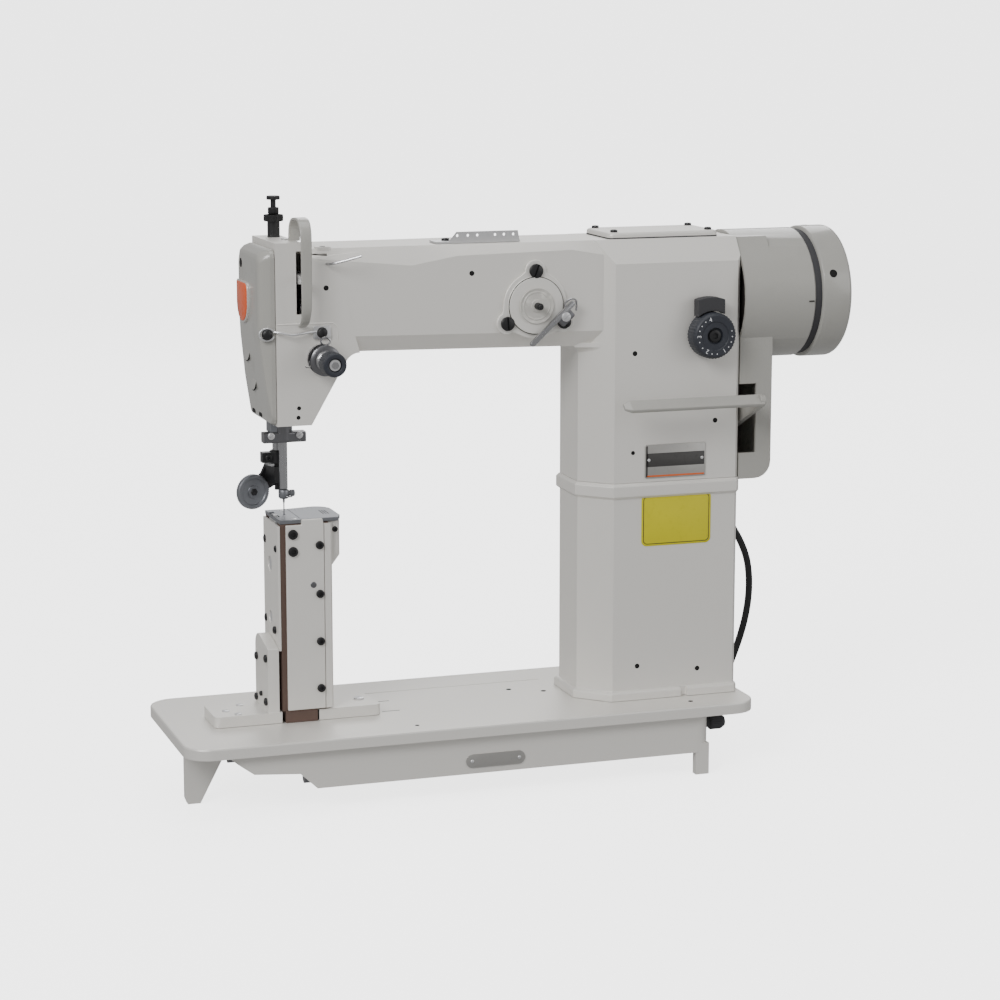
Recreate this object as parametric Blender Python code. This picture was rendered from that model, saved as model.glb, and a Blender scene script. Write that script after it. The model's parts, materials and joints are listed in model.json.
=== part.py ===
"""Post-bed roller-foot leather sewing machine with a direct-drive motor.

Sizes are in millimetres and meshes in metres. The machine's own frame has X to the right along
the arm, Y to the back and Z up, from the middle of the bed plate's top face. An empty called
machine carries everything, and puts the origin under the middle of the machine's box.
"""

import math

import bmesh
import bpy

MM = 0.001
GAP = 0.3  # left between pieces that touch
TURN = 2 * math.pi

# Bed
BED_LENGTH = 517.0
BED_WIDTH = 178.0
BED_CORNER = 23.0
PLATE_THICK = 10.0
PLATE_EDGE = 1.6
PLATE_HEIGHT = 65.0  # plate top above the surface that the machine stands on
SKIRT_INSET = 8.0
SKIRT_WALL = 6.0
SKIRT_DEPTH = 44.5
SKIRT_FROM_LEFT = 38.0
SKIRT_FROM_RIGHT = 43.5
LEG_WIDTH = 12.5
LEG_THICK = 8.0
LEFT_LEG_THICK = 7.0
LEFT_LEG_Y = -21.5

# Column and arm
COLUMN_FROM_RIGHT = 6.5
COLUMN_WIDTH = 143.0
COLUMN_DEPTH = 96.0
COLUMN_CHAMFER = 25.0
COLUMN_EDGE = 3.0
FLANGE_HEIGHT = 8.0
FLANGE_OUT = 4.0
BEAD_HEIGHT = 14.0
BEAD_OUT = 3.0
CAST_WALL = 8.0
HEAD_WALL = 4.0
ARM_DEPTH = 80.0
ARM_HEIGHT = 93.0
ARM_TAPER = 6.0
FILLET_RADIUS = 6.0
COLUMN_TOP_CUT = (14.0, 20.0)  # depth and height of the long cuts along the column's top
ARM_UNDER_CUT = (10.0, 14.0)  # the same along the arm's lower edges
# Along the arm's top edges: share of the way from head to column, cut's depth and height
ARM_TOP_CUTS = (
    (0.0, 7.0, 5.0),
    (0.33, 9.0, 16.0),
    (0.45, 7.0, 9.0),
    (0.755, 7.0, 7.0),
    (0.835, 8.0, 12.0),
    (1.0, 8.0, 12.0),
)
HEAD_LEAN = 60.0  # of the head's right edge
HEAD_ROUND = 14.0
HEAD_BEHIND_NEEDLE = 14.5
HEAD_RIGHT_OF_NEEDLE = 52.5
HEAD_DROP = 55.0  # below the arm's underside
HEAD_RAISED = 6.0
WEB = (31.5, 41.5)  # bearing web of the head, to the right of the needle

# Post, needle and foot
POST_HEIGHT = 178.0
NEEDLE_FROM_LEFT = 107.0
POST_LEFT_OF_NEEDLE = 10.2
POST_WIDTH = 42.2
POST_FRONT = -27.0
POST_BACK = 25.0
POST_WALL = 3.0
COVER_THICK = 3.0
TOP_PLATE_THICK = 3.2
RISER_OVER_POST = 18.0
SHAFT_OVER_RISER = 158.5
NEEDLE_BAR_RADIUS = 3.6
PRESSER_BAR_RADIUS = 4.0
PRESSER_BEHIND = 22.0
NEEDLE_RADIUS = 0.6
CRANK_THROW = 15.0
LINK_LENGTH = 45.0
ROLLER_RADIUS = 15.5
ROLLER_WIDTH = 5.0
ROLLER_OVER_PLATE = 1.4
ROLLER_ARM_REACH = 21.5
ROLLER_SWUNG_OUT = math.radians(75)
FEED_WHEEL_RADIUS = 15.0
FEED_WHEEL_WIDTH = 3.5
FEED_WHEEL_PROUD = 0.8
FEED_WHEEL_Y = 2.0
HOOK_FROM_NEEDLE = 17.5
HOOK_RADIUS = 16.2

# Drive
SHAFT_RADIUS = 7.25
BORE_CLEARANCE = 0.4
LOWER_SHAFT_DROP = 28.0  # below the plate top
PULLEY_RADIUS = 22.0
PULLEY_TEETH = 18
PULLEY_WIDTH = 18.0
FLANGE_THICK = 2.5
BELT_THICK = 2.0
HOOK_SHAFT_RADIUS = 5.0
GEAR_TEETH = 24
PINION_TEETH = 12
MOTOR_RADIUS = 57.75
MOTOR_LENGTH = 67.5
MOTOR_WALL = 3.0
MOTOR_BOX_WIDTH = 31.0
MOTOR_BOX_HALF_DEPTH = 46.0
MOTOR_BOX_BELOW_SHAFT = 161.0
STATOR_RADIUS = 49.5
WHEEL_RADIUS = 59.0
WHEEL_WIDTH = 29.0
WHEEL_GAP = 6.4

# Controls
DIAL_RADIUS = 20.4
DIAL_THICK = 16.0
LEVER_DROP_BELOW_SHAFT = 118.5
LEVER_REACH = 80.0
LEVER_RISE = 33.0
LEVER_LENGTH = 126.0
WINDER_RADIUS = 29.0
WINDER_SCREW_CIRCLE = 29.7

# Cable
CABLE_RADIUS = 3.2
GLAND_LENGTH = 23.0
COIL_TURN_RADIUS = 35.0  # middle of the coil's turns
COIL_ACROSS = 3  # turns side by side
COIL_LAYERS = 2

# Places that follow from the sizes
PLATE_LEFT = -BED_LENGTH / 2
PLATE_RIGHT = BED_LENGTH / 2
SKIRT_LEFT = PLATE_LEFT + SKIRT_FROM_LEFT
SKIRT_RIGHT = PLATE_RIGHT - SKIRT_FROM_RIGHT
SKIRT_Y = BED_WIDTH / 2 - SKIRT_INSET
NEEDLE_X = PLATE_LEFT + NEEDLE_FROM_LEFT
COLUMN_RIGHT = PLATE_RIGHT - COLUMN_FROM_RIGHT
COLUMN_LEFT = COLUMN_RIGHT - COLUMN_WIDTH
COLUMN_MID = (COLUMN_LEFT + COLUMN_RIGHT) / 2
COLUMN_Y = COLUMN_DEPTH / 2
ARM_Y = ARM_DEPTH / 2
RISER_TOP = POST_HEIGHT + RISER_OVER_POST
SHAFT_Z = RISER_TOP + SHAFT_OVER_RISER
ARM_UNDER = SHAFT_Z - 38.5
ARM_TOP = ARM_UNDER + ARM_HEIGHT
HEAD_BOTTOM = ARM_UNDER - HEAD_DROP
HEAD_TOP = ARM_TOP + HEAD_RAISED
HEAD_LEFT = NEEDLE_X - HEAD_BEHIND_NEEDLE
HEAD_RIGHT = NEEDLE_X + HEAD_RIGHT_OF_NEEDLE
HEAD_ROOF = ARM_TOP - 4.0  # ceiling of the head's inside
WEB_LEFT, WEB_RIGHT = (NEEDLE_X + side for side in WEB)
POST_LEFT = NEEDLE_X - POST_LEFT_OF_NEEDLE
POST_RIGHT = POST_LEFT + POST_WIDTH
HOOK_X = NEEDLE_X + HOOK_FROM_NEEDLE
LOWER_SHAFT_Z = -LOWER_SHAFT_DROP
PULLEY_X = COLUMN_MID
MOTOR_LEFT = COLUMN_RIGHT + 1.0
MOTOR_RIGHT = MOTOR_LEFT + MOTOR_LENGTH
WHEEL_LEFT = MOTOR_RIGHT + WHEEL_GAP
WHEEL_RIGHT = WHEEL_LEFT + WHEEL_WIDTH
ROLLER_Z = POST_HEIGHT + ROLLER_OVER_PLATE + ROLLER_RADIUS
LEVER_PIVOT_Z = SHAFT_Z - LEVER_DROP_BELOW_SHAFT
FEED_WHEEL = (NEEDLE_X - 8.2, POST_HEIGHT + FEED_WHEEL_PROUD - FEED_WHEEL_RADIUS)
TENSION = (NEEDLE_X + 24.5, SHAFT_Z - 37.5)
WINDER = (COLUMN_LEFT - 46.4, SHAFT_Z + 1.0)
DIAL = (COLUMN_RIGHT - 32.0, SHAFT_Z - 29.0)
LATCH = (DIAL[0] - 2.0, DIAL[1] + DIAL_RADIUS + 8.0)
LIFTER = (NEEDLE_X + 24.0, SHAFT_Z - 52.0)
TAKE_UP = (-4.0, SHAFT_Z + 30.0)  # Y and Z of the take-up lever's pin
BORE_RADIUS = SHAFT_RADIUS + BORE_CLEARANCE

# Finishes: base colour, roughness, metallic
FINISHES = {
    "enamel": ((0.78, 0.76, 0.72), 0.40, 0.0),
    "grey_enamel": ((0.45, 0.46, 0.46), 0.35, 0.0),
    "primer": ((0.07, 0.04, 0.035), 0.75, 0.0),
    "steel": ((0.62, 0.62, 0.63), 0.28, 1.0),
    "dark_steel": ((0.13, 0.14, 0.16), 0.35, 0.9),
    "black": ((0.02, 0.02, 0.024), 0.42, 0.0),
    "dial_plastic": ((0.07, 0.08, 0.11), 0.45, 0.0),
    "clear_plastic": ((0.70, 0.69, 0.66), 0.30, 0.0),
    "rubber": ((0.02, 0.02, 0.022), 0.60, 0.0),
}


# --------------------------------------------------------------------------- outlines


def arc(u, v, radius, start, end, steps):
    """Points on an arc round (u, v), both ends included, with angles in degrees."""
    turns = [math.radians(start + (end - start) * i / steps) for i in range(steps + 1)]
    return [(u + radius * math.cos(a), v + radius * math.sin(a)) for a in turns]


def circle(u, v, radius, steps=24):
    """A round outline."""
    return arc(u, v, radius, 0, 360, steps)[:-1]


def rectangle(u0, v0, u1, v1, radius=0.0, steps=4):
    """A rectangle from its low corner to its high one, with its corners rounded."""
    if radius <= 0:
        return [(u0, v0), (u1, v0), (u1, v1), (u0, v1)]
    corners = [
        (u1 - radius, v1 - radius, 0),
        (u0 + radius, v1 - radius, 90),
        (u0 + radius, v0 + radius, 180),
        (u1 - radius, v0 + radius, 270),
    ]
    return [p for u, v, a in corners for p in arc(u, v, radius, a, a + 90, steps)]


def toothed(u, v, root, tip, teeth):
    """A gear's outline: four points for each tooth."""
    points = []
    for i in range(teeth):
        for share, radius in ((0.0, root), (0.28, root), (0.42, tip), (0.86, tip)):
            turn = TURN * (i + share) / teeth
            points.append((u + radius * math.cos(turn), v + radius * math.sin(turn)))
    return points


def stadium(u, low, high, radius, steps=8):
    """An upright outline with round ends, round centres at heights low and high."""
    return arc(u, high, radius, 0, 180, steps) + arc(u, low, radius, 180, 360, steps)


def column_outline(out=0.0):
    """The column's plan, grown outwards but for its right face, which stays clear of the motor."""
    left, right, side = COLUMN_LEFT - out, COLUMN_RIGHT + min(out, 0.5), COLUMN_Y + out
    cut, edge = COLUMN_CHAMFER + 0.4 * out, COLUMN_EDGE
    return [
        (left, side - cut),
        (left, cut - side),
        (left + cut, -side),
        (right - edge, -side),
        (right, edge - side),
        (right, side - edge),
        (right - edge, side),
        (left + cut, side),
    ]


# --------------------------------------------------------------------------- meshes


def along(axis, points, w):
    """Outline points as places in space, at w along an axis."""
    if axis == "X":
        return [(w, u, v) for u, v in points]
    if axis == "Y":
        return [(u, w, v) for u, v in points]
    return [(u, v, w) for u, v in points]


def skin(loops, ring=False):
    """A closed mesh through loops of equal length, capped at both ends or joined to a ring."""
    mesh = bmesh.new()
    rows = [[mesh.verts.new(p) for p in loop] for loop in loops]
    pairs = list(zip(rows, rows[1:] + rows[:1])) if ring else list(zip(rows, rows[1:]))
    for near, far in pairs:
        for i in range(len(near)):
            j = (i + 1) % len(near)
            mesh.faces.new((near[i], near[j], far[j], far[i]))
    if not ring:
        mesh.faces.new(rows[0])
        mesh.faces.new(rows[-1][::-1])
    bmesh.ops.recalc_face_normals(mesh, faces=mesh.faces)
    return mesh


def prism(axis, points, start, end):
    """An outline pushed along an axis."""
    return skin([along(axis, points, start), along(axis, points, end)])


def tube(axis, outer, inner, start, end):
    """A ring-shaped prism between two outlines of equal length."""
    return skin(
        [
            along(axis, outer, start),
            along(axis, outer, end),
            along(axis, inner, end),
            along(axis, inner, start),
        ],
        ring=True,
    )


def turned(axis, centre, profile, steps=20, ring=False):
    """A turned piece: its profile is (place along the axis, radius) pairs."""
    loops = [along(axis, circle(*centre, radius, steps), w) for w, radius in profile]
    return skin(loops, ring)


def rod(axis, centre, radius, start, end, steps=12):
    """A plain round bar."""
    return turned(axis, centre, [(start, radius), (end, radius)], steps)


def box(low, high):
    """A plain block between two corners."""
    return prism("Z", rectangle(low[0], low[1], high[0], high[1]), low[2], high[2])


def merged(*meshes):
    """Several meshes in one."""
    result = bmesh.new()
    for part in meshes:
        copies = {v: result.verts.new(v.co) for v in part.verts}
        for face in part.faces:
            result.faces.new([copies[v] for v in face.verts])
        part.free()
    return result


def coil_mesh(axis_x, axis_y, low, high, radius, wire, turns):
    """A helical spring round an upright line, with closed wire ends."""
    steps, sides = 8, 4
    loops = []
    for i in range(turns * steps + 1):
        turn = TURN * i / steps
        z = low + (high - low) * i / (turns * steps)
        loop = []
        for k in range(sides):
            side = TURN * k / sides
            reach = radius + wire * math.cos(side)
            height = z + wire * math.sin(side)
            loop.append((axis_x + reach * math.cos(turn), axis_y + reach * math.sin(turn), height))
        loops.append(loop)
    return skin(loops)


# --------------------------------------------------------------------------- objects


def finish(name):
    """The named finish, made once."""
    if name in bpy.data.materials:
        return bpy.data.materials[name]
    material = bpy.data.materials.new(name)
    material.use_nodes = True
    colour, roughness, metallic = FINISHES[name]
    shader = material.node_tree.nodes["Principled BSDF"]
    shader.inputs["Base Color"].default_value = (*colour, 1.0)
    shader.inputs["Roughness"].default_value = roughness
    shader.inputs["Metallic"].default_value = metallic
    return material


def make(name, mesh, finish_name, pivot=(0.0, 0.0, 0.0)):
    """An object of the machine, with its origin on its pivot."""
    for vertex in mesh.verts:
        vertex.co = [(c - p) * MM for c, p in zip(vertex.co, pivot)]
    data = bpy.data.meshes.new(name)
    mesh.to_mesh(data)
    mesh.free()
    data.shade_smooth()
    data.set_sharp_from_angle(angle=math.radians(35))
    obj = bpy.data.objects.new(name, data)
    obj.location = [p * MM for p in pivot]
    obj.parent = bpy.data.objects["machine"]
    bpy.context.scene.collection.objects.link(obj)
    if finish_name:
        data.materials.append(finish(finish_name))
    return obj


def combine(obj, operation, *meshes):
    """Adds meshes to an object or cuts them from it, with the Boolean left on the object."""
    number = len(obj.modifiers)
    tool = make(f"{obj.name}_tool_{number}", merged(*meshes), None)
    tool.hide_render = True
    tool.display_type = "WIRE"
    modifier = obj.modifiers.new(f"{operation.lower()}_{number}", "BOOLEAN")
    modifier.operation = operation
    modifier.solver = "EXACT"
    modifier.object = tool
    return obj


def cut(obj, *meshes):
    """Cuts meshes that don't touch each other from an object."""
    return combine(obj, "DIFFERENCE", *meshes)


def add(obj, *meshes):
    """Joins meshes that don't touch each other to an object."""
    return combine(obj, "UNION", *meshes)


def ease(obj, width, angle=40, segments=2):
    """Rounds an object's edges."""
    modifier = obj.modifiers.new("ease", "BEVEL")
    modifier.width = width * MM
    modifier.segments = segments
    modifier.limit_method = "ANGLE"
    modifier.angle_limit = math.radians(angle)
    return obj


# --------------------------------------------------------------------------- bed


def bed():
    """The bed plate with its skirt, legs and lower bearings, in one casting."""
    half_w = BED_WIDTH / 2
    edge = PLATE_EDGE
    loops = []
    for z, inset in ((0.0, edge), (-0.3 * edge, 0.3 * edge), (-edge, 0.0), (-PLATE_THICK, 0.0)):
        points = rectangle(
            PLATE_LEFT + inset,
            -half_w + inset,
            PLATE_RIGHT - inset,
            half_w - inset,
            BED_CORNER - inset,
            6,
        )
        loops.append(along("Z", points, z))
    casting = make("bed_casting", skin(loops), "enamel")
    top = -PLATE_THICK + 1.0
    wall = SKIRT_WALL
    skirt = tube(
        "Z",
        rectangle(SKIRT_LEFT, -SKIRT_Y, SKIRT_RIGHT, SKIRT_Y, 12.0),
        rectangle(SKIRT_LEFT + wall, wall - SKIRT_Y, SKIRT_RIGHT - wall, SKIRT_Y - wall, 6.0),
        -SKIRT_DEPTH,
        top,
    )
    add(casting, skirt)
    under = -SKIRT_DEPTH - 5.0
    rise = [
        (SKIRT_LEFT - 20, under),
        (SKIRT_LEFT - 20, -PLATE_THICK - 0.6),
        (SKIRT_LEFT - 1, -PLATE_THICK - 2.5),
        (SKIRT_LEFT + 20, 17.0 - SKIRT_DEPTH),
        (SKIRT_LEFT + 60, 14.0 - SKIRT_DEPTH),
        (SKIRT_LEFT + 80, under),
    ]
    cut(casting, prism("Y", rise, -half_w, half_w))
    left_leg = [
        (SKIRT_LEFT - 27.5, top),
        (SKIRT_LEFT - 27.5, 5.0 - PLATE_HEIGHT),
        (SKIRT_LEFT - 25.5, -PLATE_HEIGHT),
        (SKIRT_LEFT - 14.5, -PLATE_HEIGHT),
        (SKIRT_LEFT + 15.0, top),
    ]
    leg_y = SKIRT_Y - LEG_THICK
    leg_x = SKIRT_RIGHT - LEG_WIDTH - 1.0
    legs = [
        prism("Y", left_leg, LEFT_LEG_Y - LEFT_LEG_THICK / 2, LEFT_LEG_Y + LEFT_LEG_THICK / 2),
        box((leg_x, -SKIRT_Y + 0.5, -PLATE_HEIGHT), (leg_x + LEG_WIDTH, -leg_y, 8 - SKIRT_DEPTH)),
        box((leg_x, leg_y, -PLATE_HEIGHT), (leg_x + LEG_WIDTH, SKIRT_Y - 0.5, 8 - SKIRT_DEPTH)),
    ]
    bearings = [
        box((x - 7, -14, LOWER_SHAFT_Z - 14), (x + 7, 14, top))
        for x in (NEEDLE_X + 55, PULLEY_X - 45)
    ]
    add(casting, *legs, *bearings)
    cut(
        casting,
        box((HOOK_X - 14, -23, top - 5), (HOOK_X + 23, 23, 5)),
        box((PULLEY_X - 16, -32, top - 5), (PULLEY_X + 16, 32, 5)),
        rod("X", (0, LOWER_SHAFT_Z), BORE_RADIUS, NEEDLE_X + 40, PULLEY_X - 30),
    )


def bed_knob():
    """The black hand nut at the bed's right end."""
    x = SKIRT_RIGHT + GAP
    profile = [(x, 4.5), (x + 5, 4.5), (x + 6, 6.8), (x + 17, 6.8), (x + 20, 4.5)]
    make("bed_end_knob", turned("X", (-62.0, -23.0), profile), "black")


# --------------------------------------------------------------------------- column and arm


def riser():
    """The hollow lower column, with a flange at its foot and a bead at its top."""
    bead = RISER_TOP - BEAD_HEIGHT
    outer = [
        (GAP, FLANGE_OUT),
        (FLANGE_HEIGHT - 1.5, FLANGE_OUT),
        (FLANGE_HEIGHT, FLANGE_OUT - 1.5),
        (FLANGE_HEIGHT + 0.5, 0.0),
        (bead, 0.0),
        (bead + 2.5, BEAD_OUT),
        (RISER_TOP - 2.5, BEAD_OUT),
        (RISER_TOP, 0.8),
    ]
    loops = [along("Z", column_outline(out), z) for z, out in outer]
    inner = column_outline(-CAST_WALL)
    loops += [along("Z", inner, RISER_TOP), along("Z", inner, GAP)]
    casting = make("riser_column", skin(loops, ring=True), "enamel")
    notch_x, notch_y = COLUMN_RIGHT - 51, -COLUMN_Y - 0.5
    cut(
        casting,
        box(
            (notch_x - 3, notch_y - FLANGE_OUT - 5, -5),
            (notch_x + 3, notch_y, FLANGE_HEIGHT + 2),
        ),
    )


def arm_section(x, under, depth, top, cut_y, cut_z):
    """One cross-section of the arm, with its four long edges cut."""
    under_y, under_z = ARM_UNDER_CUT
    points = [
        (-depth, under + under_z),
        (under_y - depth, under),
        (depth - under_y, under),
        (depth, under + under_z),
        (depth, top - cut_z),
        (depth - cut_y, top),
        (cut_y - depth, top),
        (-depth, top - cut_z),
    ]
    return along("X", points, x)


def arm():
    """The hollow arm casting: upper column, arm and head."""
    casting = make(
        "arm_casting",
        prism("Z", column_outline(), RISER_TOP + GAP, ARM_TOP),
        "enamel",
    )
    cut(casting, *column_top_cutters(COLUMN_LEFT - 5, COLUMN_RIGHT + 5))
    arm_end = HEAD_LEFT + 6
    length = COLUMN_MID - arm_end
    sections = []
    for share, cut_y, cut_z in ARM_TOP_CUTS:
        x = arm_end + share * length
        under = ARM_UNDER + ARM_TAPER * (1 - share)
        sections.append(arm_section(x, under, ARM_Y, ARM_TOP - 0.02, cut_y, cut_z))
    add(casting, skin(sections))
    add(casting, arm_fillet())
    slope = HEAD_RIGHT - NEEDLE_X
    corner = NEEDLE_X + 0.29 * slope
    joint_z = ARM_UNDER + ARM_TAPER - 1.0
    run = (joint_z - HEAD_BOTTOM) / math.tan(math.radians(HEAD_LEAN))
    round_x = corner + run + HEAD_ROUND * math.tan(math.radians(HEAD_LEAN / 2))
    outline = [(HEAD_LEFT, HEAD_BOTTOM), (corner, HEAD_BOTTOM)]
    outline += arc(round_x, joint_z - HEAD_ROUND, HEAD_ROUND, 90 + HEAD_LEAN, 90, 4)
    outline += [
        (HEAD_RIGHT, ARM_UNDER + 24),
        (HEAD_RIGHT - 10, ARM_TOP - 12),
        (NEEDLE_X + 14, ARM_TOP - 9),
        (NEEDLE_X + 9, HEAD_TOP),
        (HEAD_LEFT, HEAD_TOP),
    ]
    head_y = ARM_Y + 0.4
    add(casting, prism("Y", outline, -head_y, head_y))
    wall = CAST_WALL
    head_cavity = [
        (HEAD_LEFT - 5, HEAD_BOTTOM + wall),
        (NEEDLE_X + 10, HEAD_BOTTOM + wall),
        (WEB_LEFT, HEAD_BOTTOM + 40),
        (WEB_LEFT, HEAD_ROOF),
        (HEAD_LEFT - 5, HEAD_ROOF),
    ]
    cut(casting, prism("Y", head_cavity, HEAD_WALL - ARM_Y, ARM_Y - HEAD_WALL))
    cut(
        casting,
        box(
            (WEB_RIGHT, wall - ARM_Y, ARM_UNDER + wall + ARM_TAPER),
            (COLUMN_MID, ARM_Y - wall, ARM_TOP - wall - 5),
        ),
    )
    cavity_top = ARM_TOP - COLUMN_TOP_CUT[1]
    cut(casting, prism("Z", column_outline(-wall), RISER_TOP - 1, cavity_top))
    x0, x1 = rear_opening_x()
    cut(
        casting,
        box((COLUMN_LEFT + 32, -24, cavity_top - 5), (COLUMN_RIGHT - 22, 24, ARM_TOP + 5)),
        box((x0, COLUMN_Y - 2 * wall, RISER_TOP + 40), (x1, COLUMN_Y + 5, ARM_TOP - 40)),
    )
    cut(casting, *arm_bores())


def column_top_cutters(start, end):
    """Wedges that slope the column's front and back top edges."""
    depth, height = COLUMN_TOP_CUT
    out = COLUMN_Y + depth
    wedge = [(-out, ARM_TOP - 2 * height), (2 * depth - COLUMN_Y, ARM_TOP + height)]
    wedge += [(-out, ARM_TOP + height)]
    return [prism("X", [(side * y, z) for y, z in wedge], start, end) for side in (1, -1)]


def arm_fillet():
    """The hollow curve from the arm's underside into the column's left face."""
    low, left = ARM_UNDER - FILLET_RADIUS, COLUMN_LEFT - FILLET_RADIUS
    flat = COLUMN_Y - COLUMN_CHAMFER - 1.0
    root = COLUMN_LEFT + COLUMN_CHAMFER - 8
    loops = []
    for i in range(9):
        turn = math.radians(90 * i / 8)
        x = left + FILLET_RADIUS * math.cos(turn)
        z = low + FILLET_RADIUS * math.sin(turn)
        half = flat + (ARM_Y - ARM_UNDER_CUT[0] - flat) * i / 8
        deep = flat + root - COLUMN_LEFT
        plan = [(x, -half), (root, -deep), (root, deep), (x, half)]
        loops.append(along("Z", plan, z))
    loops.append([(x, y, ARM_UNDER + 4) for x, y, z in loops[-1]])
    return skin(loops)


def rear_opening_x():
    """Left and right edges of the opening in the column's back."""
    return COLUMN_LEFT + COLUMN_CHAMFER + 4, COLUMN_RIGHT - 20


def arm_bores():
    """Everything bored through the arm casting."""
    front = -COLUMN_Y - 5
    return [
        rod("X", (0, SHAFT_Z), BORE_RADIUS, WEB_LEFT - 3, WEB_RIGHT + 3),
        rod("X", (0, SHAFT_Z), BORE_RADIUS, COLUMN_RIGHT - 15, COLUMN_RIGHT + 5),
        rod("X", TAKE_UP, 3.5 + BORE_CLEARANCE, WEB_LEFT - 3, WEB_RIGHT + 3, 12),
        rod("X", (0, LEVER_PIVOT_Z), 6 + BORE_CLEARANCE, COLUMN_RIGHT - 15, COLUMN_RIGHT + 5),
        rod("Z", (NEEDLE_X, 0), 8 + BORE_CLEARANCE, HEAD_BOTTOM - 5, HEAD_BOTTOM + 12),
        rod(
            "Z",
            (NEEDLE_X, PRESSER_BEHIND),
            PRESSER_BAR_RADIUS + BORE_CLEARANCE,
            HEAD_BOTTOM - 5,
            HEAD_BOTTOM + 12,
        ),
        rod("Z", (NEEDLE_X, PRESSER_BEHIND), 5.4 + BORE_CLEARANCE, HEAD_ROOF - 5, HEAD_TOP + 5),
        rod("Y", TENSION, 3 + BORE_CLEARANCE, front, -ARM_Y + 12, 12),
        rod("Y", WINDER, 3 + BORE_CLEARANCE, front, -ARM_Y + 12, 12),
        rod("Y", DIAL, 4 + BORE_CLEARANCE, front, -COLUMN_Y + 12, 12),
        rod("Y", LATCH, 3 + BORE_CLEARANCE, front, -COLUMN_Y + 12, 12),
        rod("Y", LIFTER, 3 + BORE_CLEARANCE, ARM_Y - 7, ARM_Y + 5, 12),
        box(
            (NEEDLE_X + 3.3, -ARM_Y - 5, SHAFT_Z + 0.5),
            (NEEDLE_X + 8.7, -ARM_Y + 12, ARM_TOP - 1),
        ),
    ]


def column_covers():
    """The lid on the arm's top and the plate on the column's back."""
    low, high = ARM_TOP + GAP, ARM_TOP + 5.5
    x0, x1 = COLUMN_LEFT + 25.5, COLUMN_RIGHT - 15
    levels = ((low, 0.0), (high - 1.5, 0.0), (high, 1.8))
    loops = [
        along("Z", rectangle(x0 + i, i - 30, x1 - i, 30 - i, 5.0), z) for z, i in levels
    ]
    make("arm_top_cover", skin(loops), "enamel")
    x0, x1 = rear_opening_x()
    back = COLUMN_Y + GAP
    outline = rectangle(x0 - 7, RISER_TOP + 33, x1 + 7, ARM_TOP - 33, 6.0)
    make("arm_rear_cover", prism("Y", outline, back, back + COVER_THICK), "enamel")


def face_section(x, inset, bottom):
    """One outline of the face plate, in the Y and Z directions."""
    return along(
        "X",
        rectangle(inset - ARM_Y, bottom, ARM_Y - inset, ARM_TOP + 1 - inset, 8.0),
        x,
    )


def face_plate():
    """The hollow end cover of the head, whose lower half leans in."""
    right = HEAD_LEFT - GAP
    low = HEAD_BOTTOM
    outer = [
        (right, 0.0, low),
        (right - 4, 0.2, low + 2),
        (right - 8.5, 1.6, low + 30),
        (right - 12.5, 4.5, low + 66),
        (right - 14.2, 9.0, low + 80),
    ]
    inner = [
        (right - 11.5, 9.5, low + 80),
        (right - 6.5, 4.5, low + 38),
        (right - 2.5, 3.0, low + 8),
        (right, 3.0, low + 4),
    ]
    mesh = bmesh.new()
    rows = [[mesh.verts.new(p) for p in face_section(*level)] for level in outer + inner]
    count = len(rows[0])
    for a, b in list(zip(rows, rows[1:])) + [(rows[-1], rows[0])]:
        if a is rows[len(outer) - 1]:
            continue
        for i in range(count):
            j = (i + 1) % count
            mesh.faces.new((a[i], a[j], b[j], b[i]))
    mesh.faces.new(rows[len(outer) - 1])
    mesh.faces.new(rows[len(outer)])
    bmesh.ops.recalc_face_normals(mesh, faces=mesh.faces)
    make("face_plate", mesh, "grey_enamel")


def take_up_guard():
    """The bent cover round the take-up lever, open on its left."""
    face = -ARM_Y - 0.4 - GAP
    roof = HEAD_TOP + GAP
    left, right = NEEDLE_X + 2.5, NEEDLE_X + 12.5
    outer = [(face, SHAFT_Z - 8), (face - 16, SHAFT_Z + 4), (face - 19.5, SHAFT_Z + 20)]
    outer += [(face - 19.5, roof + 4)]
    outer += arc(face - 9, roof + 10, 10.5, 180, 90, 4)
    outer += arc(-26, roof + 13.5, 7, 90, 0, 4)
    outer += [(-17, roof)]
    outer += [(face, roof)]
    inner = [(face - 14, SHAFT_Z + 8), (face - 17, SHAFT_Z + 22), (face - 17, roof + 4)]
    inner += arc(face - 9, roof + 10, 8, 180, 90, 4)
    inner += arc(-26, roof + 13, 5, 90, 20, 3)
    inner += [(-20, roof - 5), (face + 5, roof - 5), (face + 5, SHAFT_Z + 8)]
    guard = make("take_up_guard", prism("X", outer, left, right), "grey_enamel")
    cut(guard, prism("X", inner, left - 5, right - 2))


# --------------------------------------------------------------------------- drive


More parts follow.
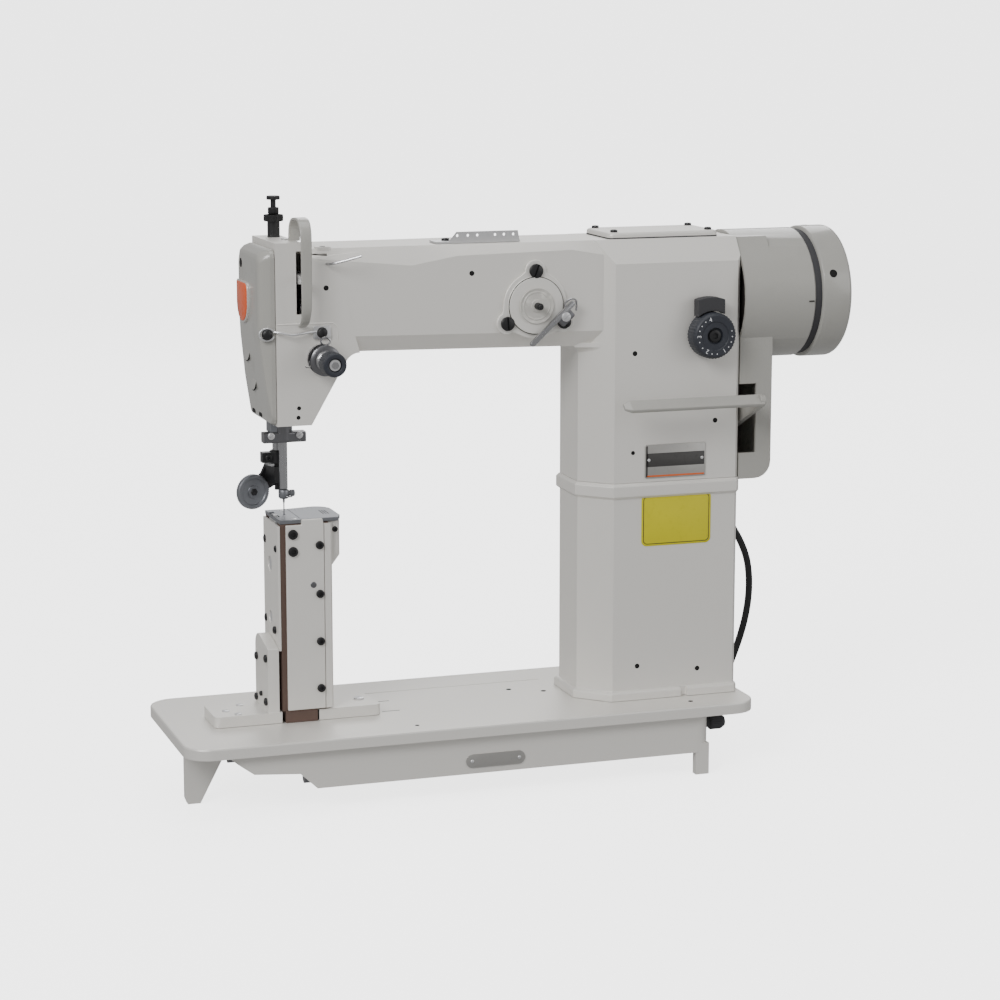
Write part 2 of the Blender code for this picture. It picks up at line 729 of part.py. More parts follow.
def motor():
    """The moulded motor cover with its lever window, and the stator inside."""
    low = SHAFT_Z - MOTOR_BOX_BELOW_SHAFT
    box_right = MOTOR_LEFT + MOTOR_BOX_WIDTH
    depth, wall = MOTOR_BOX_HALF_DEPTH, MOTOR_WALL

    def side(inset, left):
        corner = 15 - inset
        points = [(left, low + inset)]
        points += arc(box_right - 15, low + 15, corner, 270, 360, 5)
        points += [(box_right - inset, SHAFT_Z), (left, SHAFT_Z)]
        return points

    rim = [
        (MOTOR_LEFT, MOTOR_RADIUS),
        (MOTOR_RIGHT - 1.5, MOTOR_RADIUS),
        (MOTOR_RIGHT, MOTOR_RADIUS - 1.5),
    ]
    cover = make("motor_cover", turned("X", (0, SHAFT_Z), rim, 36), "grey_enamel")
    add(cover, prism("Y", side(0.0, MOTOR_LEFT + 0.02), -depth, depth))
    cut_y, cut_z = COLUMN_TOP_CUT
    roof = ARM_TOP - 1.0
    crown = [(-depth, SHAFT_Z - 20), (depth, SHAFT_Z - 20), (depth, roof - cut_z)]
    crown += [(depth - cut_y, roof), (cut_y - depth, roof), (-depth, roof - cut_z)]
    add(cover, prism("X", crown, MOTOR_LEFT + 0.04, box_right - 2.0))
    bore = MOTOR_RADIUS - wall
    hollow = [
        (MOTOR_LEFT - 5, bore),
        (MOTOR_RIGHT - wall, bore),
        (MOTOR_RIGHT - wall, STATOR_RADIUS + 1),
        (MOTOR_RIGHT + 5, STATOR_RADIUS + 1),
    ]
    cut(cover, turned("X", (0, SHAFT_Z), hollow, 28))
    cut(cover, prism("Y", side(wall, MOTOR_LEFT - 5), wall - depth, depth - wall))
    window = LEVER_PIVOT_Z - 19
    cut(
        cover,
        box((MOTOR_LEFT - 5, -depth - 5, window), (MOTOR_LEFT + 16, 8 - depth, window + 62)),
    )
    stator = [
        (MOTOR_LEFT + 3, STATOR_RADIUS),
        (MOTOR_RIGHT + 2, STATOR_RADIUS),
        (MOTOR_RIGHT + 2, SHAFT_RADIUS + 5),
        (MOTOR_LEFT + 3, SHAFT_RADIUS + 5),
    ]
    make("motor_stator", turned("X", (0, SHAFT_Z), stator, 24, ring=True), "black")


def handwheel():
    """The wheel that turns the main shaft by hand."""
    left, right, radius = WHEEL_LEFT, WHEEL_RIGHT, WHEEL_RADIUS
    profile = [
        (left, BORE_RADIUS),
        (left, radius - 1.5),
        (left + 1.5, radius),
        (right - 6, radius),
        (right - 2, radius - 2),
        (right, radius - 6.5),
        (right, radius - 11),
        (right - 3, radius - 14),
        (right - 3, 20),
        (right - 1, 18),
        (right - 1, BORE_RADIUS),
    ]
    wheel = make(
        "handwheel",
        turned("X", (0, SHAFT_Z), profile, 28, ring=True),
        "grey_enamel",
        (left, 0, SHAFT_Z),
    )
    middle = (left + right) / 2 - 4
    cut(wheel, rod("Y", (middle, SHAFT_Z + 18), 3.4, -radius - 5, 12 - radius, 14))


def main_shaft():
    """The upper shaft, from the crank to the handwheel."""
    start, end = NEEDLE_X + 21.5, WHEEL_RIGHT - 4
    profile = [
        (start, SHAFT_RADIUS - 1),
        (start + 1, SHAFT_RADIUS),
        (end - 1, SHAFT_RADIUS),
        (end, SHAFT_RADIUS - 1),
    ]
    mesh = turned("X", (0, SHAFT_Z), profile, 20)
    make("main_shaft", mesh, "steel", (start, 0, SHAFT_Z))


def pulley(name, shaft_z):
    """A toothed belt pulley between two flanges."""
    left, right = PULLEY_X - PULLEY_WIDTH / 2, PULLEY_X + PULLEY_WIDTH / 2
    flange = PULLEY_RADIUS + 4
    wheel = make(
        name,
        prism(
            "X",
            toothed(0, shaft_z, PULLEY_RADIUS - 1.6, PULLEY_RADIUS, PULLEY_TEETH),
            left + 1,
            right - 1,
        ),
        "steel",
        (PULLEY_X, 0, shaft_z),
    )
    add(
        wheel,
        rod("X", (0, shaft_z), flange, left, left + FLANGE_THICK, 18),
        rod("X", (0, shaft_z), flange, right - FLANGE_THICK, right, 18),
    )
    cut(wheel, rod("X", (0, shaft_z), BORE_RADIUS, left - 5, right + 5))


def timing_belt():
    """The toothed belt from the upper shaft down to the lower one."""
    inner = PULLEY_RADIUS + GAP
    half = PULLEY_WIDTH / 2 - FLANGE_THICK - GAP
    mesh = tube(
        "X",
        stadium(0, LOWER_SHAFT_Z, SHAFT_Z, inner + BELT_THICK, 12),
        stadium(0, LOWER_SHAFT_Z, SHAFT_Z, inner, 12),
        PULLEY_X - half,
        PULLEY_X + half,
    )
    make("timing_belt", mesh, "rubber")


def bevel(axis, centre, teeth, apex, sign, radius, length, width):
    """A bevel gear whose teeth run towards the apex, on its side given by the sign."""
    loops = []
    for share in (1.0, 1.0 - width / length):
        tip = radius * share
        w = apex + sign * length * share
        loops.append(along(axis, toothed(*centre, tip - 2.2 * share, tip, teeth), w))
    return skin(loops)


def lower_shaft():
    """The lower shaft with its bevel gear."""
    start = HOOK_X + 8.0
    end = PULLEY_X + PULLEY_WIDTH / 2 + 6
    profile = [(start, SHAFT_RADIUS), (end - 1, SHAFT_RADIUS), (end, SHAFT_RADIUS - 1)]
    shaft = make(
        "lower_shaft",
        turned("X", (0, LOWER_SHAFT_Z), profile, 20),
        "steel",
        (start, 0, LOWER_SHAFT_Z),
    )
    add(shaft, bevel("X", (0, LOWER_SHAFT_Z), GEAR_TEETH, HOOK_X, 1, 20.0, 10.6, 4.0))


def hook_drive():
    """The upright hook shaft with its pinion, the rotary hook and the bobbin case."""
    low = LOWER_SHAFT_Z + 12.0
    hook_low = POST_HEIGHT - 20.0
    pivot = (HOOK_X, 0, low)
    thick = HOOK_SHAFT_RADIUS
    profile = [(low, 4.0), (low + 6, 4.0), (low + 6, thick), (hook_low + 4, thick)]
    shaft = make("hook_shaft", turned("Z", (HOOK_X, 0), profile, 16), "steel", pivot)
    add(shaft, bevel("Z", (HOOK_X, 0), PINION_TEETH, LOWER_SHAFT_Z, 1, 9.0, 20.0, 7.0))
    top = POST_HEIGHT - TOP_PLATE_THICK - 2.5
    radius = HOOK_RADIUS
    cup = [
        (hook_low, HOOK_SHAFT_RADIUS + GAP),
        (hook_low, radius - 5),
        (hook_low + 3, radius),
        (top, radius),
        (top, radius - 2),
        (hook_low + 5, radius - 2),
        (hook_low + 5, HOOK_SHAFT_RADIUS + GAP),
    ]
    hook = make(
        "rotary_hook",
        turned("Z", (HOOK_X, 0), cup, 22, ring=True),
        "steel",
        (HOOK_X, 0, hook_low),
    )
    cut(hook, box((HOOK_X + 4, radius - 6, top - 4), (HOOK_X + 14, radius + 5, top + 5)))
    inside = radius - 2 - 0.6
    case = [
        (hook_low + 5.5, inside - 3),
        (hook_low + 6.5, inside),
        (top - 0.5, inside),
        (top - 0.5, inside - 1.5),
        (hook_low + 8, inside - 1.5),
        (hook_low + 8, 3.0),
        (top - 1.5, 2.5),
    ]
    make("bobbin_case", turned("Z", (HOOK_X, 0), case, 18), "steel")


def needle_drive():
    """Crank, link, needle bar, clamp and needle."""
    left = NEEDLE_X + 20.0
    pin = (-CRANK_THROW, SHAFT_Z)
    weight = arc(0, SHAFT_Z, 22, -62, 62, 8) + arc(pin[0], pin[1], 8, 115, 245, 6)
    crank = make(
        "needle_bar_crank",
        prism("X", weight, left, WEB_LEFT - 1),
        "steel",
        (left, 0, SHAFT_Z),
    )
    add(crank, rod("X", pin, 3.5, left - 8.5, left + 2, 16))
    cut(crank, rod("X", (0, SHAFT_Z), BORE_RADIUS, left - 5, WEB_LEFT + 5))
    lean = math.asin(CRANK_THROW / LINK_LENGTH)
    stud = (0.0, SHAFT_Z - LINK_LENGTH * math.cos(lean))
    angle = math.degrees(math.atan2(stud[1] - pin[1], stud[0] - pin[0]))
    eyes = arc(*pin, 6.2, angle + 90, angle + 270, 8)
    eyes += arc(*stud, 5.0, angle - 90, angle + 90, 8)
    link_left = NEEDLE_X + 11.8
    link = make(
        "needle_bar_link",
        prism("X", eyes, link_left, link_left + 4.4),
        "steel",
        (link_left, *pin),
    )
    cut(
        link,
        rod("X", pin, 3.5 + GAP, link_left - 3, link_left + 8, 16),
        rod("X", stud, 2.6, link_left - 3, link_left + 8, 12),
    )
    low, high = POST_HEIGHT + 22.0, HEAD_ROOF - 24
    bar = make(
        "needle_bar",
        turned(
            "Z",
            (NEEDLE_X, 0),
            [
                (low + GAP, NEEDLE_BAR_RADIUS - 0.5),
                (low + 1, NEEDLE_BAR_RADIUS),
                (high - 1, NEEDLE_BAR_RADIUS),
                (high, NEEDLE_BAR_RADIUS - 1),
            ],
            20,
        ),
        "steel",
        (NEEDLE_X, 0, low),
    )
    add(bar, box((NEEDLE_X - 6, -6, stud[1] - 6), (NEEDLE_X + 10.8, 6, stud[1] + 6)))
    shank = NEEDLE_RADIUS + 0.45
    cut(bar, rod("Z", (NEEDLE_X, 0), shank + GAP, low - 5, low + 9, 10))
    clamp_low = low - 8
    clamp = make(
        "needle_clamp",
        turned(
            "Z",
            (NEEDLE_X, 0),
            [(clamp_low, 3.4), (clamp_low + 1.5, 4.6), (low - 0.5, 4.6), (low, 4.1)],
            20,
        ),
        "dark_steel",
        (NEEDLE_X, 0, low),
    )
    add(clamp, rod("X", (0, clamp_low + 4.5), 2.1, NEEDLE_X + 2, NEEDLE_X + 9.5, 12))
    cut(clamp, rod("Z", (NEEDLE_X, 0), shank + GAP, clamp_low - 5, low + 5, 10))
    tip = POST_HEIGHT - 2.0
    profile = [
        (tip, 0.12),
        (tip + 3, NEEDLE_RADIUS),
        (clamp_low - 4, NEEDLE_RADIUS),
        (clamp_low - 2.5, shank),
        (low + 8, shank),
    ]
    make("needle", turned("Z", (NEEDLE_X, 0), profile, 10), "steel", (NEEDLE_X, 0, low))


def take_up_lever():
    """The thread take-up lever on its pin, reaching out through the head's slot."""
    y, z = TAKE_UP
    left = NEEDLE_X + 4.5
    hub = arc(y, z, 7.5, -100, 100, 12)
    eye_y = -ARM_Y - 11.5
    nose = arc(eye_y, z, 3.0, 100, 260, 6)
    lever = make(
        "take_up_lever",
        prism("X", hub + nose, left, left + 3),
        "steel",
        (left, y, z),
    )
    add(lever, rod("X", (y, z), 3.5, left + 1, WEB_RIGHT + 1, 12))
    cut(lever, rod("X", (eye_y, z), 1.2, left - 3, left + 8, 8))


# --------------------------------------------------------------------------- presser foot


def presser():
    """Presser bar, its spring, the pressure regulator and the lifter."""
    centre = (NEEDLE_X, PRESSER_BEHIND)
    low = POST_HEIGHT + 46.0
    collar = SHAFT_Z - 30
    top = HEAD_ROOF - 20
    radius = PRESSER_BAR_RADIUS
    bar = [
        (low, radius - 0.5),
        (low + 1, radius),
        (collar, radius),
        (collar, radius + 4.5),
        (collar + 7, radius + 4.5),
        (collar + 7, radius),
        (top, radius - 0.5),
    ]
    make("presser_bar", turned("Z", centre, bar, 16), "steel", (*centre, low))
    spring_low, spring_high = collar + 8.6, HEAD_ROOF - 7.4
    make(
        "presser_spring",
        coil_mesh(*centre, spring_low, spring_high, radius + 2.0, 1.0, 8),
        "steel",
        (*centre, spring_low),
    )
    roof = HEAD_TOP
    sleeve = [
        (HEAD_ROOF - 6, 3.6),
        (HEAD_ROOF - 6, 7.5),
        (HEAD_ROOF - GAP, 7.5),
        (HEAD_ROOF - GAP, 5.4),
        (roof + 13.5, 5.4),
        (roof + 13.5, 8.2),
        (roof + 19, 8.2),
        (roof + 19, 3.6),
    ]
    make("pressure_sleeve", turned("Z", centre, sleeve, 16, ring=True), "black")
    screw = [
        (HEAD_ROOF - 2, 3.2),
        (roof + 19 + GAP, 3.2),
        (roof + 19 + GAP, 4.7),
        (roof + 25.3, 4.7),
        (roof + 25.3, 2.3),
        (roof + 31.6, 2.3),
        (roof + 31.6, 5.8),
        (roof + 35, 5.8),
    ]
    make("pressure_screw", turned("Z", centre, screw, 16), "black", (*centre, roof))


def lifter():
    """The hand lever behind the head that raises the presser bar."""
    pivot = LIFTER
    back = ARM_Y + 0.4 + GAP
    end = (pivot[0] - 30, pivot[1] - 26)
    angle = math.degrees(math.atan2(end[1] - pivot[1], end[0] - pivot[0]))
    outline = arc(*pivot, 8.5, angle + 90, angle + 270, 10)
    outline += arc(*end, 5.0, angle - 90, angle + 90, 6)
    lever = make(
        "presser_lifter_lever",
        prism("Y", outline, back, back + 6),
        "dark_steel",
        (pivot[0], back, pivot[1]),
    )
    add(lever, rod("Y", pivot, 3.0, ARM_Y - 3, back + 2, 12))


def needle_bar_guide():
    """The steel guide under the head, with the needle bar's lower bush."""
    low = HEAD_BOTTOM - 19.5
    x = NEEDLE_X
    plate = prism("X", rectangle(-7, low, 5, low + 9, 1.5, 2), x - 18, x + 18.8)
    guide = make("needle_bar_guide", plate, "dark_steel")
    add(guide, rod("Z", (x, 0), 8.0, low + 2, HEAD_BOTTOM + 14, 24))
    cut(guide, rod("Z", (x, 0), NEEDLE_BAR_RADIUS + BORE_CLEARANCE, low - 5, HEAD_BOTTOM + 20))


def roller_foot():
    """The roller presser: bracket on the bar, swinging arm and roller, swung out to the left."""
    centre = (NEEDLE_X, PRESSER_BEHIND)
    top = POST_HEIGHT + 53.0
    swivel_top = POST_HEIGHT + 41.0
    bracket = make(
        "roller_bracket",
        turned("Z", centre, [(swivel_top + 1, 6.5), (top - 1, 6.5), (top, 5.5)], 20),
        "black",
        (*centre, swivel_top),
    )
    add(
        bracket,
        box(
            (centre[0] - 14, centre[1] - 4.5, swivel_top + 1.5),
            (centre[0] - 3, centre[1] + 4.5, top - 1.5),
        ),
        rod("Z", centre, 2.5, POST_HEIGHT + 18, swivel_top + 3, 12),
    )
    cut(
        bracket,
        rod("Z", centre, PRESSER_BAR_RADIUS + GAP, POST_HEIGHT + 46.0 - GAP, top + 5, 20),
    )

    def turn(x, y):
        """A place given for the working foot, swung out round the presser bar."""
        c, s = math.cos(ROLLER_SWUNG_OUT), math.sin(-ROLLER_SWUNG_OUT)
        return centre[0] + x * c - y * s, centre[1] + x * s + y * c

    def swung(mesh):
        """A mesh built for the working foot, swung out."""
        for vertex in mesh.verts:
            vertex.co.x, vertex.co.y = turn(vertex.co.x, vertex.co.y)
        return mesh

    wheel_x = -8.0
    wheel_y = -math.sqrt(ROLLER_ARM_REACH**2 - wheel_x**2)
    half = ROLLER_WIDTH / 2
    arm_right = wheel_x - half - GAP - 0.2
    arm_left = arm_right - 3.2
    z = ROLLER_Z
    side = [(6, z + 4), (6, swivel_top - 1.5), (-5, swivel_top - 1.5), (-9, z + 15)]
    side += arc(wheel_y, z, 6.5, 80, 260, 8)
    side += [(-8, z - 2)]
    arm_obj = make(
        "roller_arm",
        swung(prism("X", side, arm_left, arm_right)),
        "black",
        (*centre, z),
    )
    yoke = swung(box((arm_right - 2, -6, z + 8), (6, 6, swivel_top - 2)))
    axle = swung(rod("X", (wheel_y, z), 2.2, arm_right - 2, wheel_x + half + 0.5, 14))
    add(arm_obj, yoke, axle)
    cut(arm_obj, rod("Z", centre, 2.5 + GAP, z + 5, swivel_top + 5, 16))
    rim = [
        (wheel_x - half, 2.2 + GAP),
        (wheel_x - half, ROLLER_RADIUS - 1),
        (wheel_x - half + 0.8, ROLLER_RADIUS),
        (wheel_x + half - 0.8, ROLLER_RADIUS),
        (wheel_x + half, ROLLER_RADIUS - 1),
        (wheel_x + half, ROLLER_RADIUS - 3.2),
        (wheel_x + half - 0.9, ROLLER_RADIUS - 4),
        (wheel_x + half - 0.9, 5.5),
        (wheel_x + half, 5.0),
        (wheel_x + half, 2.2 + GAP),
    ]
    roller = swung(turned("X", (wheel_y, z), rim, 22, ring=True))
    make("presser_roller", roller, "dark_steel", (*turn(wheel_x, wheel_y), z))


# --------------------------------------------------------------------------- thread path


def tension():
    """Tension post, discs, spring, nut and check spring on the head's front."""
    face = -ARM_Y - 0.4 - GAP
    centre = TENSION
    post = [(face - 3, 13.0), (face, 13.0), (face, 3.0), (-ARM_Y + 6, 3.0)]
    post = [(face - 44, 3.0), (face - 3, 3.0)] + post
    make("tension_post", turned("Y", centre, post, 20), "steel")
    disc = [
        (face - 14.5, 3 + GAP),
        (face - 14.5, 9.5),
        (face - 13.6, 13.0),
        (face - 12.6, 13.2),
        (face - 11.4, 13.0),
        (face - 10.5, 9.5),
        (face - 10.5, 3 + GAP),
    ]
    make("tension_discs", turned("Y", centre, disc, 18, ring=True), "steel")
    spring = [
        (face - 27, 5.0),
        (face - 27, 7.5),
        (face - 15.2, 9.0),
        (face - 15.2, 6.5),
    ]
    make("tension_spring", turned("Y", centre, spring, 16, ring=True), "steel")
    knob = [
        (face - 44, 3 + GAP),
        (face - 44, 9.0),
        (face - 43, 10.2),
        (face - 29, 10.6),
        (face - 27.6, 9.6),
        (face - 27.6, 3 + GAP),
    ]
    make(
        "tension_knob",
        turned("Y", centre, knob, 18, ring=True),
        "dial_plastic",
        (centre[0], face - 44, centre[1]),
    )
    hub = [(face - 9, 3 + GAP), (face - 9, 6.5), (face - 4, 6.5), (face - 4, 3 + GAP)]
    check = make(
        "check_spring",
        turned("Y", centre, hub, 14, ring=True),
        "steel",
        (centre[0], face - 6.5, centre[1]),
    )
    tail = [
        (centre[0] - 4.5, centre[1] - 3.2),
        (centre[0] - 15, centre[1] - 6.2),
        (centre[0] - 17, centre[1] - 4.4),
        (centre[0] - 15.4, centre[1] - 4.6),
        (centre[0] - 4.5, centre[1] - 1.4),
    ]
    add(check, prism("Y", tail, face - 7.4, face - 5.6))


def thread_guides():
    """The guide across the face plate joint, and the one on the arm's top."""
    face = -ARM_Y - 0.4 - GAP
    z = SHAFT_Z - 15.0
    outline = rectangle(NEEDLE_X - 25, z - 4, NEEDLE_X + 31, z + 4, 3.9, 6)
    guide = make("front_thread_guide", prism("Y", outline, face - 2.0, face), "steel")
    loop = tube(
        "X",
        rectangle(face - 6, z - 3, face - 1, z + 3, 2.2),
        rectangle(face - 4.8, z - 1.8, face - 2.2, z + 1.8, 1.2),
        NEEDLE_X - 6,
        NEEDLE_X - 4,
    )
    add(guide, loop)
    x = COLUMN_LEFT - 130.5
    top = ARM_TOP + GAP
    front, thick, length = -25.0, 1.6, 76.0
    foot = box((x, front, top), (x + length, -7, top + thick))
    plate = make("top_thread_guide", foot, "steel")
    crest = [(x + 11, top + 0.2), (x + length - 0.4, top + 0.2), (x + length - 2, top + 9.6)]
    crest += [(x + 19, top + 9.6)]
    add(plate, prism("Y", crest, front + 0.02, front + thick))
    across = (19.5, 29.0, 37.5, 53.5, 61.5, 70.0)
    cut(plate, *[rod("Y", (x + u, top + 6.4), 1.3, front - 5, front + 6, 8) for u in across])


# --------------------------------------------------------------------------- winder and controls


def winder():
    """The bobbin winder: lobed plate, translucent disc on its spindle, and trip lever."""
    face = -ARM_Y - GAP
    x, z = WINDER
    outline = []
    lobe = 9.5
    for i in range(3):
        turn = 90 + 120 * i
        a = math.radians(turn)
        lobe_x = x + WINDER_SCREW_CIRCLE * math.cos(a)
        lobe_z = z + WINDER_SCREW_CIRCLE * math.sin(a)
        outline += arc(lobe_x, lobe_z, lobe, turn - 95, turn + 95, 8)
        outline += arc(x, z, WINDER_RADIUS, turn + 28, turn + 92, 6)
    plate = make("winder_plate", prism("Y", outline, face - 2.4, face), "enamel")
    add(plate, rod("Y", WINDER, 25.0, face - 4.0, face - 1.0, 28))
    cut(plate, rod("Y", WINDER, 4.0, face - 9.0, face + 5.0, 14))
    disc = [
        (-ARM_Y + 5, 2.5),
        (face - 4.6, 2.5),
        (face - 4.6, 16.0),
        (face - 6.0, 16.6),
        (face - 6.4, 14.5),
        (face - 6.0, 4.0),
        (face - 17.0, 3.0),
        (face - 18.0, 2.2),
    ]
    make(
        "winder_disc",
        turned("Y", WINDER, disc, 20),
        "clear_plastic",
        (x, face - 4.6, z),
    )
    pivot = (x + 21.5, z - 9.0)
    blade = [
        (pivot[0] + 4.5, pivot[1] + 15.5),
        (pivot[0] + 12.5, pivot[1] + 11.0),
        (pivot[0] + 15.0, pivot[1] + 1.5),
        (pivot[0] + 4.0, pivot[1] - 4.5),
        (pivot[0] - 6.0, pivot[1] - 6.5),
        (pivot[0] - 31.5, pivot[1] - 28.5),
        (pivot[0] - 34.0, pivot[1] - 25.5),
        (pivot[0] - 8.0, pivot[1] + 3.0),
    ]
    lever = make(
        "winder_lever",
        prism("Y", blade, face - 9.8, face - 7.6),
        "steel",
        (pivot[0], face - 7.6, pivot[1]),
    )
    add(lever, rod("Y", pivot, 5.2, face - 10.8, face - 4.3, 20))


def stitch_controls():
    """Stitch-length dial, its latch, and the reverse lever."""
    x, z = DIAL
    front = -COLUMN_Y - 4.0
    dial = [
        (-COLUMN_Y + 6, 4.0),
        (front, 4.0),
        (front, DIAL_RADIUS),
        (front - DIAL_THICK + 1.2, DIAL_RADIUS),
        (front - DIAL_THICK, DIAL_RADIUS - 1.2),
        (front - DIAL_THICK, 7.0),
        (front - DIAL_THICK + 2.5, 6.0),
    ]
    make(
        "stitch_dial",
        turned("Y", DIAL, dial, 26),
        "dial_plastic",
        (x, front - DIAL_THICK, z),
    )
    inner = DIAL_RADIUS + 1.0
    outline = arc(x, z, inner, 58, 130, 6) + arc(x - 1.3, z - 5, inner + 17, 109, 71, 6)
    latch = make(
        "dial_latch",
        prism("Y", outline, -COLUMN_Y - 14, -COLUMN_Y - 3),
        "black",
        (x, -COLUMN_Y - 3, z + inner),
    )
    add(latch, rod("Y", LATCH, 3.0, -COLUMN_Y - 5, -COLUMN_Y + 6, 12))
    arm_left = COLUMN_RIGHT + 4.5
    pivot = (0.0, LEVER_PIVOT_Z)
    end = (-LEVER_REACH, LEVER_PIVOT_Z + LEVER_RISE)
    angle = math.degrees(math.atan2(end[1] - pivot[1], end[0] - pivot[0]))
    side = arc(*pivot, 9.0, angle + 90, angle + 270, 10) + arc(*end, 5.0, angle - 90, angle + 90, 6)
    lever = make(
        "reverse_lever",
        prism("X", side, arm_left, arm_left + 5),
        "grey_enamel",
        (arm_left, *pivot),
    )
    lean = math.radians(38)
    half_w, half_t = 6.2, 2.2
    corners = []
    for u, v in rectangle(-half_w, -half_t, half_w, half_t, 1.6, 2):
        turned_y = u * math.cos(lean) - v * math.sin(lean)
        turned_z = u * math.sin(lean) + v * math.cos(lean)
        corners.append((end[0] + turned_y, end[1] + turned_z))
    tip = [(0.55 * (y - end[0]) + end[0], 0.55 * (h - end[1]) + end[1]) for y, h in corners]
    left = arm_left - LEVER_LENGTH
    bar = skin(
        [
            along("X", tip, left),
            along("X", corners, left + 6),
            along("X", corners, arm_left + 4),
        ]
    )
    add(lever, bar, rod("X", pivot, 6.0, COLUMN_RIGHT - 6, arm_left + 2, 18))


# --------------------------------------------------------------------------- post


def post_frame():
    """The upright hollow post, with room at its top for the hook and the feed wheel."""
    left, right = POST_LEFT, POST_RIGHT
    wall = POST_WALL
    top = POST_HEIGHT - TOP_PLATE_THICK - GAP
    foot = 10.5
    frame = make(
        "post_frame",
        tube(
            "Z",
            rectangle(left, POST_FRONT, right, POST_BACK),
            rectangle(left + wall, POST_FRONT + wall, right - wall, POST_BACK - wall),
            foot,
            top,
        ),
        "primer",
    )
    add(frame, box((left + 2.5, POST_FRONT - 1, GAP), (HOOK_X + 3, POST_BACK - 1, foot + 0.7)))
    hook_low = POST_HEIGHT - 26
    cut(
        frame,
        rod("Z", (HOOK_X, 0), HOOK_SHAFT_RADIUS + 2, -5, foot + 10, 20),
        box((left - 5, -17, POST_HEIGHT - 32), (left + wall + 1, 21, POST_HEIGHT + 5)),
        box((right - wall - 1, -20, hook_low), (right + 5, 20, POST_HEIGHT + 5)),
    )
    wheel_x, wheel_z = FEED_WHEEL
    lug_x = wheel_x + FEED_WHEEL_WIDTH / 2 + GAP
    add(
        frame,
        box((lug_x, POST_FRONT + 1, wheel_z - 7), (lug_x + 2.7, FEED_WHEEL_Y + 5, wheel_z + 6)),
    )
    cut(frame, rod("X", (FEED_WHEEL_Y, wheel_z), 3.0, lug_x - 3, lug_x + 6, 14))


def post_covers():
    """The sheet covers on the post's front, left and right."""
    low, high = 11.5, POST_HEIGHT - 4.2
    left, right = POST_LEFT, POST_RIGHT
    front = POST_FRONT - GAP
    panel = [
        (left + 4.2, low),
        (right - 4.7, low),
        (right - 4.7, high - 0.5),
        (right - 5.8, POST_HEIGHT + 0.3),
        (right - 24.2, POST_HEIGHT + 0.3),
        (right - 24.2, high),
        (left + 4.2, high),
    ]
    cover = make("post_front_cover", prism("Y", panel, front - COVER_THICK, front), "enamel")
    ease(cover, 0.5, 40, 1)
    side = left - GAP
    outline = rectangle(POST_FRONT, 64, POST_BACK, POST_HEIGHT - 5)
    plate = make("post_side_cover", prism("X", outline, side - 2, side), "enamel")
    holes = ((20, 154, 3.8), (-18, 152, 3.4), (3, 135, 6.8), (3, 88, 6.0), (20, 84, 3.8))
    cut(plate, *[rod("X", (y, z), r, side - 6, side + 4, 14) for y, z, r in holes])
    lip = front - 2.4
    wall = right + GAP
    plan = [
        (right - 4.2, lip),
        (wall + 0.8, lip),
        (wall + 2.4, lip + 1.6),
        (wall + 2.4, POST_BACK),
        (wall, POST_BACK),
        (wall, front),
        (right - 4.2, front),
    ]
    rear = make("post_rear_cover", prism("Z", plan, low, POST_HEIGHT - 4.2), "enamel")
    bulge_low = POST_HEIGHT - 34
    outer = rectangle(wall + 0.2, -22, wall + 12, POST_BACK + 3, 5.0)
    outer_mesh = skin(
        [
            along("Z", rectangle(wall + 0.2, -22, wall + 5, POST_BACK + 3, 2.0), bulge_low - 8),
            along("Z", outer, bulge_low),
            along("Z", outer, POST_HEIGHT - 4.0),
        ]
    )
    add(rear, outer_mesh)
    inner = rectangle(wall - 6, -19.5, wall + 9.8, POST_BACK + 0.5, 4.0)
    cut(rear, prism("Z", inner, bulge_low + 1, POST_HEIGHT + 5))


def post_feet():
    """The two brackets that hold the post to the bed."""
    left, right = POST_LEFT, POST_RIGHT
    plate_top = 10.0
    foot_left = left - 60
    plan = [(left - GAP, POST_FRONT), (left - GAP, POST_BACK)]
    plan += arc(foot_left + 12, POST_BACK - 12, 12, 90, 180, 5)
    plan += arc(foot_left + 5, POST_FRONT + 5, 5, 180, 270, 3)
    foot = make("post_foot_left", prism("Z", plan, GAP, plate_top), "enamel")
    upright = [(POST_FRONT + 1, plate_top - 2), (20, plate_top - 2)]
    upright += arc(8, 61, 12, 0, 100, 6)
    upright += [(POST_FRONT + 1, 66)]
    add(foot, prism("X", upright, left - 12.5, left - 2.6))
    plan = [(right - 10, POST_FRONT - 0.5), (right - 10, POST_BACK)]
    plan += [(right + 40, POST_BACK)]
    end = right + 46
    plan += arc(end - 6, POST_FRONT + 5.5, 6, 0, -90, 4)
    foot = make("post_foot_right", prism("Z", plan, GAP, plate_top), "enamel")
    cut(foot, rod("Z", (HOOK_X, 0), HOOK_SHAFT_RADIUS + 2, -5, 20, 20))


